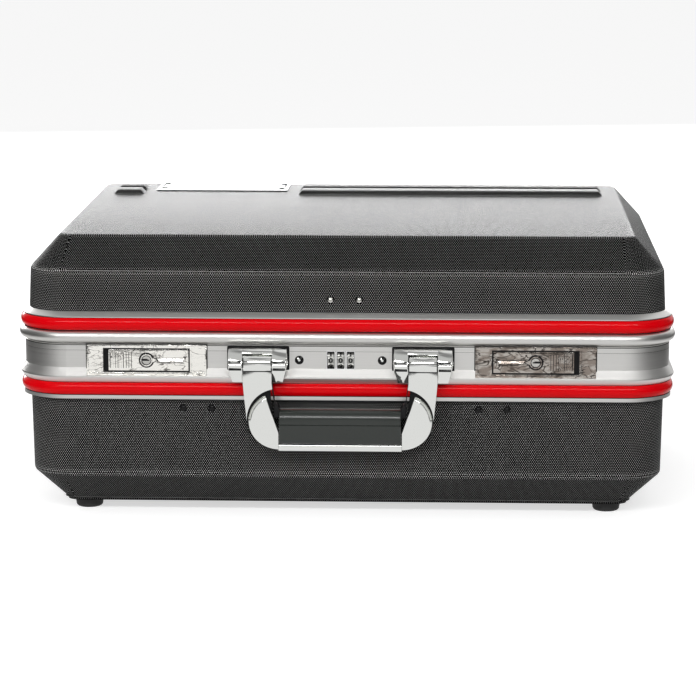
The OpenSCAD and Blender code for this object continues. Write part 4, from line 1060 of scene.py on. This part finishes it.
def window_rim(number, x):
    """The bright chamfer round one wheel window."""
    rim = block(f"wheel_window_rim_{number}", (x - rim_half_w, front(0.25), wheel_z - rim_half_h),
                (x + rim_half_w, front(0.0), wheel_z + rim_half_h))
    open_up(rim)
    pick(rim, faces=faces_front)
    inset(0.2)
    inset(0.35, -0.2)
    drop_faces()
    pick(rim, faces=faces_back)
    drop_faces()
    close_up()
    apply_modifier(rim, "SOLIDIFY", thickness=0.05 * MM, offset=-1.0)
    finished(rim, "base", "plate_aluminium")


wheel_digits(fx - wheel_pitch, wheel_pitch)
for number in (1, 2, 3):
    window_rim(number, fx + (number - 2) * wheel_pitch)
    window_line(number, fx + (number - 2) * wheel_pitch)


def screw_shade(x, side):
    """The dark ring on the head of a band screw, open towards the upper left where the head shines."""
    shade = disc(f"band_screw_shade_{side}", x, 0.35, wheel_z, 2.75, sides=32)
    open_up(shade)
    inset(1.65)
    bpy.ops.transform.translate(value=(0, -0.85 * MM, 0))
    drop_faces()
    pick(shade, faces=lambda f: 1.7 < math.atan2(f.calc_center_median().z - wheel_z * MM,
                                                 f.calc_center_median().x - x * MM) < 2.7)
    drop_faces()
    close_up()
    apply_modifier(shade, "SOLIDIFY", thickness=0.05 * MM, offset=-1.0)
    finished(shade, "base", "rivet_black", angle=60)


screw_x = 31.8  # the band screws beside the wheels
screw_shade(fx - screw_x, "left")
screw_shade(fx + screw_x, "right")


def run_round(name, body, z, height, out, slot, thick=0.03):
    """A low strip that runs round the whole case, this far in front of the band."""
    strip = ring(name, -out, corner_r + out, z, steps=48)
    open_up(strip)
    bpy.ops.mesh.extrude_region_move(TRANSFORM_OT_translate={"value": (0, 0, height * MM)})
    pick(strip, faces=lambda f: abs(f.normal.z) > 0.9)
    drop_faces()
    close_up()
    apply_modifier(strip, "SOLIDIFY", thickness=thick * MM, offset=-1.0)
    finished(strip, body, slot)


def plate_edge():
    """A black strip along the front edge of the name plate: painted shadow under that edge."""
    low, high = (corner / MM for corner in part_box("name_plate"))
    line = block("name_plate_edge", (low.x + 0.6, low.y - 0.12, low.z), (high.x - 0.6, low.y - 0.02, high.z - 0.2))
    open_up(line)
    pick(line, edges=runs_across)
    bevel(0.03, 1)
    close_up()
    finished(line, "lid", "rivet_black")


plate_edge()

# a die line of the band, a black line painted as the shadow under the band's top bulge, and black strips above and
# below the red beads, painted shade at their edges
for name, body, z, height, out in (
        ("band_top_shadow_line", "base", 136.7, 0.55, 0.04),
        ("band_die_line", "base", 132.8, 0.16, 0.04),
        ("lower_bead_foot_shade", "base", z_trim, 0.5, 1.3),
        ("lower_bead_head_shade", "base", z_band - 0.5, 0.5, 1.1),
        ("upper_bead_foot_shade", "lid", z_trim2, 0.5, 1.3),
        ("upper_bead_head_shade", "lid", z_lip2 - 0.5, 0.5, 1.1)):
    run_round(name, body, z, height, out, "black_steel")
# the rolled edge under the lower bead
run_round("lower_rolled_edge", "base", z_lip + 1.3, z_trim - z_lip - 1.4, 1.58, "frame_aluminium", 0.5)


# ---------------------------------------------------------------- rims of the rivets

def rivet_rims(name, body, places, y, z, radius, thick):
    """A thin rolled rim under each rivet head, all in one object."""
    made = [flat_torus(name, x, y, z, radius, thick, 0.6, 32) for x in places]
    finished(joined(name, *made), body, "rivet_black", angle=60)


pair_places, pair_u, pair_z = (-124.5, -102.5, 102.5, 124.5), -4.0, 87.5
rivet_rims("front_rivet_rims", "base", pair_places, front(pair_u), pair_z, 2.6, 0.35)
rivet_rims("back_rivet_rims", "base", pair_places, -front(pair_u), pair_z, 2.6, 0.35)
rivet_rims("lid_rivet_rims", "lid", (-11.0, 11.0), front(-3.7), 172.2, 2.5, 0.3)
# the black rims round the band screws paint the shade of the recess they sit in
rivet_rims("band_screw_recess_shade", "base", (fx - screw_x, fx + screw_x), front(0.1), wheel_z, 3.0, 0.4)


# ---------------------------------------------------------------- floor, world and lamps

bpy.ops.mesh.primitive_plane_add(size=14, location=(0, 0, 0))
floor = bpy.context.object
floor.name = "studio_floor"
paper, t, out = new_finish("white_paper_floor")
ray = put(t, "ShaderNodeLightPath").outputs
glow_strength = 0.62
grey = put(t, "ShaderNodeBsdfDiffuse", {"Color": colour("D0D0D0")})
glow = put(t, "ShaderNodeEmission", {
    "Color": colour("FFFFFF"), "Strength": maths(t, "MULTIPLY", seen_directly(t, ray), glow_strength)})
lit = put(t, "ShaderNodeAddShader", {0: grey.outputs[0], 1: glow.outputs[0]})
# metal sees a white sheet in front of the case and black paper beyond both of its ends
across = maths(t, "ABSOLUTE", axes_of(t, on_object(t))[0])
mirrored = put(t, "ShaderNodeEmission", {
    "Color": colour("FFFFFF"), "Strength": span(t, across, 0.42, 0.7, 0.9, 0.06)})
both = put(t, "ShaderNodeMixShader", {0: ray["Is Glossy Ray"], 1: lit.outputs[0], 2: mirrored.outputs[0]})
t.links.new(both.outputs[0], out.inputs[0])
floor.data.materials.append(paper)

world = bpy.data.worlds.new("white_studio")
bpy.context.scene.world = world
world.use_nodes = True
w = world.node_tree
w.nodes.clear()

ray = put(w, "ShaderNodeLightPath").outputs
plain = put(w, "ShaderNodeBackground", {"Color": colour("FFFFFF"), "Strength": 0.48})
# in metal the room shows a light wall low down, a dark one above it and a light ceiling panel
front_tones = [(0.0, 0.9), (0.1, 0.85), (0.15, 0.04), (0.25, 0.04), (0.29, 0.8), (0.4, 0.8), (0.44, 0.08),
               (0.52, 0.08), (0.57, 0.8), (0.66, 0.62), (0.82, 0.62), (0.88, 0.28), (0.95, 0.25), (0.98, 0.8),
               (1.0, 0.8)]
back_tones = [(0.0, 1.0), (0.5, 1.0), (0.95, 0.9)]
x, y, z = axes_of(w, put(w, "ShaderNodeTexCoord").outputs["Generated"])
walls = blend(w, span(w, y, -0.25, 0.25, 0.0, 1.0), by_height(w, z, front_tones).outputs[0],
              by_height(w, z, back_tones).outputs[0])
# black flags stand at both ends and draw the dark outlines of bright metal
flag = span(w, maths(w, "ABSOLUTE", x), 0.62, 0.78, 1.0, 0.18)
room = blend(w, 1.0, walls, flag, blend_type="MULTIPLY")
mirror = put(w, "ShaderNodeBackground", {"Color": room, "Strength": 1.0})
white = put(w, "ShaderNodeBackground", {"Color": colour("FFFFFF"), "Strength": 1.0})
lit = put(w, "ShaderNodeMixShader", {0: ray["Is Glossy Ray"], 1: plain.outputs[0], 2: mirror.outputs[0]})
shown = put(w, "ShaderNodeMixShader", {0: seen_directly(w, ray), 1: lit.outputs[0], 2: white.outputs[0]})
put(w, "ShaderNodeOutputWorld", {0: shown.outputs[0]})


def softbox(name, place, aim, size, power, mirrored=True):
    """A rectangular soft lamp aimed at a point, out of sight of the camera."""
    bpy.ops.object.light_add(type="AREA", location=place)
    lamp = bpy.context.object
    lamp.name = name
    lamp.data.shape = "RECTANGLE"
    lamp.data.size, lamp.data.size_y = size
    lamp.data.energy = power
    lamp.rotation_euler = (Vector(aim) - Vector(place)).to_track_quat("-Z", "Y").to_euler()
    lamp.visible_camera = False
    lamp.visible_glossy = mirrored


softbox("key_softbox", (-1.9, -1.8, 0.8), (0, 0, 0.12), (1.2, 0.9), 16, False)
softbox("fill_softbox", (1.9, -1.5, 0.9), (0, 0, 0.12), (1.0, 1.0), 3.5, False)
softbox("back_softbox", (-0.5, 2.6, 0.75), (-0.1, 0, 0.2), (3.0, 0.9), 68)
softbox("strip_softbox", (0.0, -1.7, 1.1), (0, 0, 0.12), (2.4, 0.24), 22)
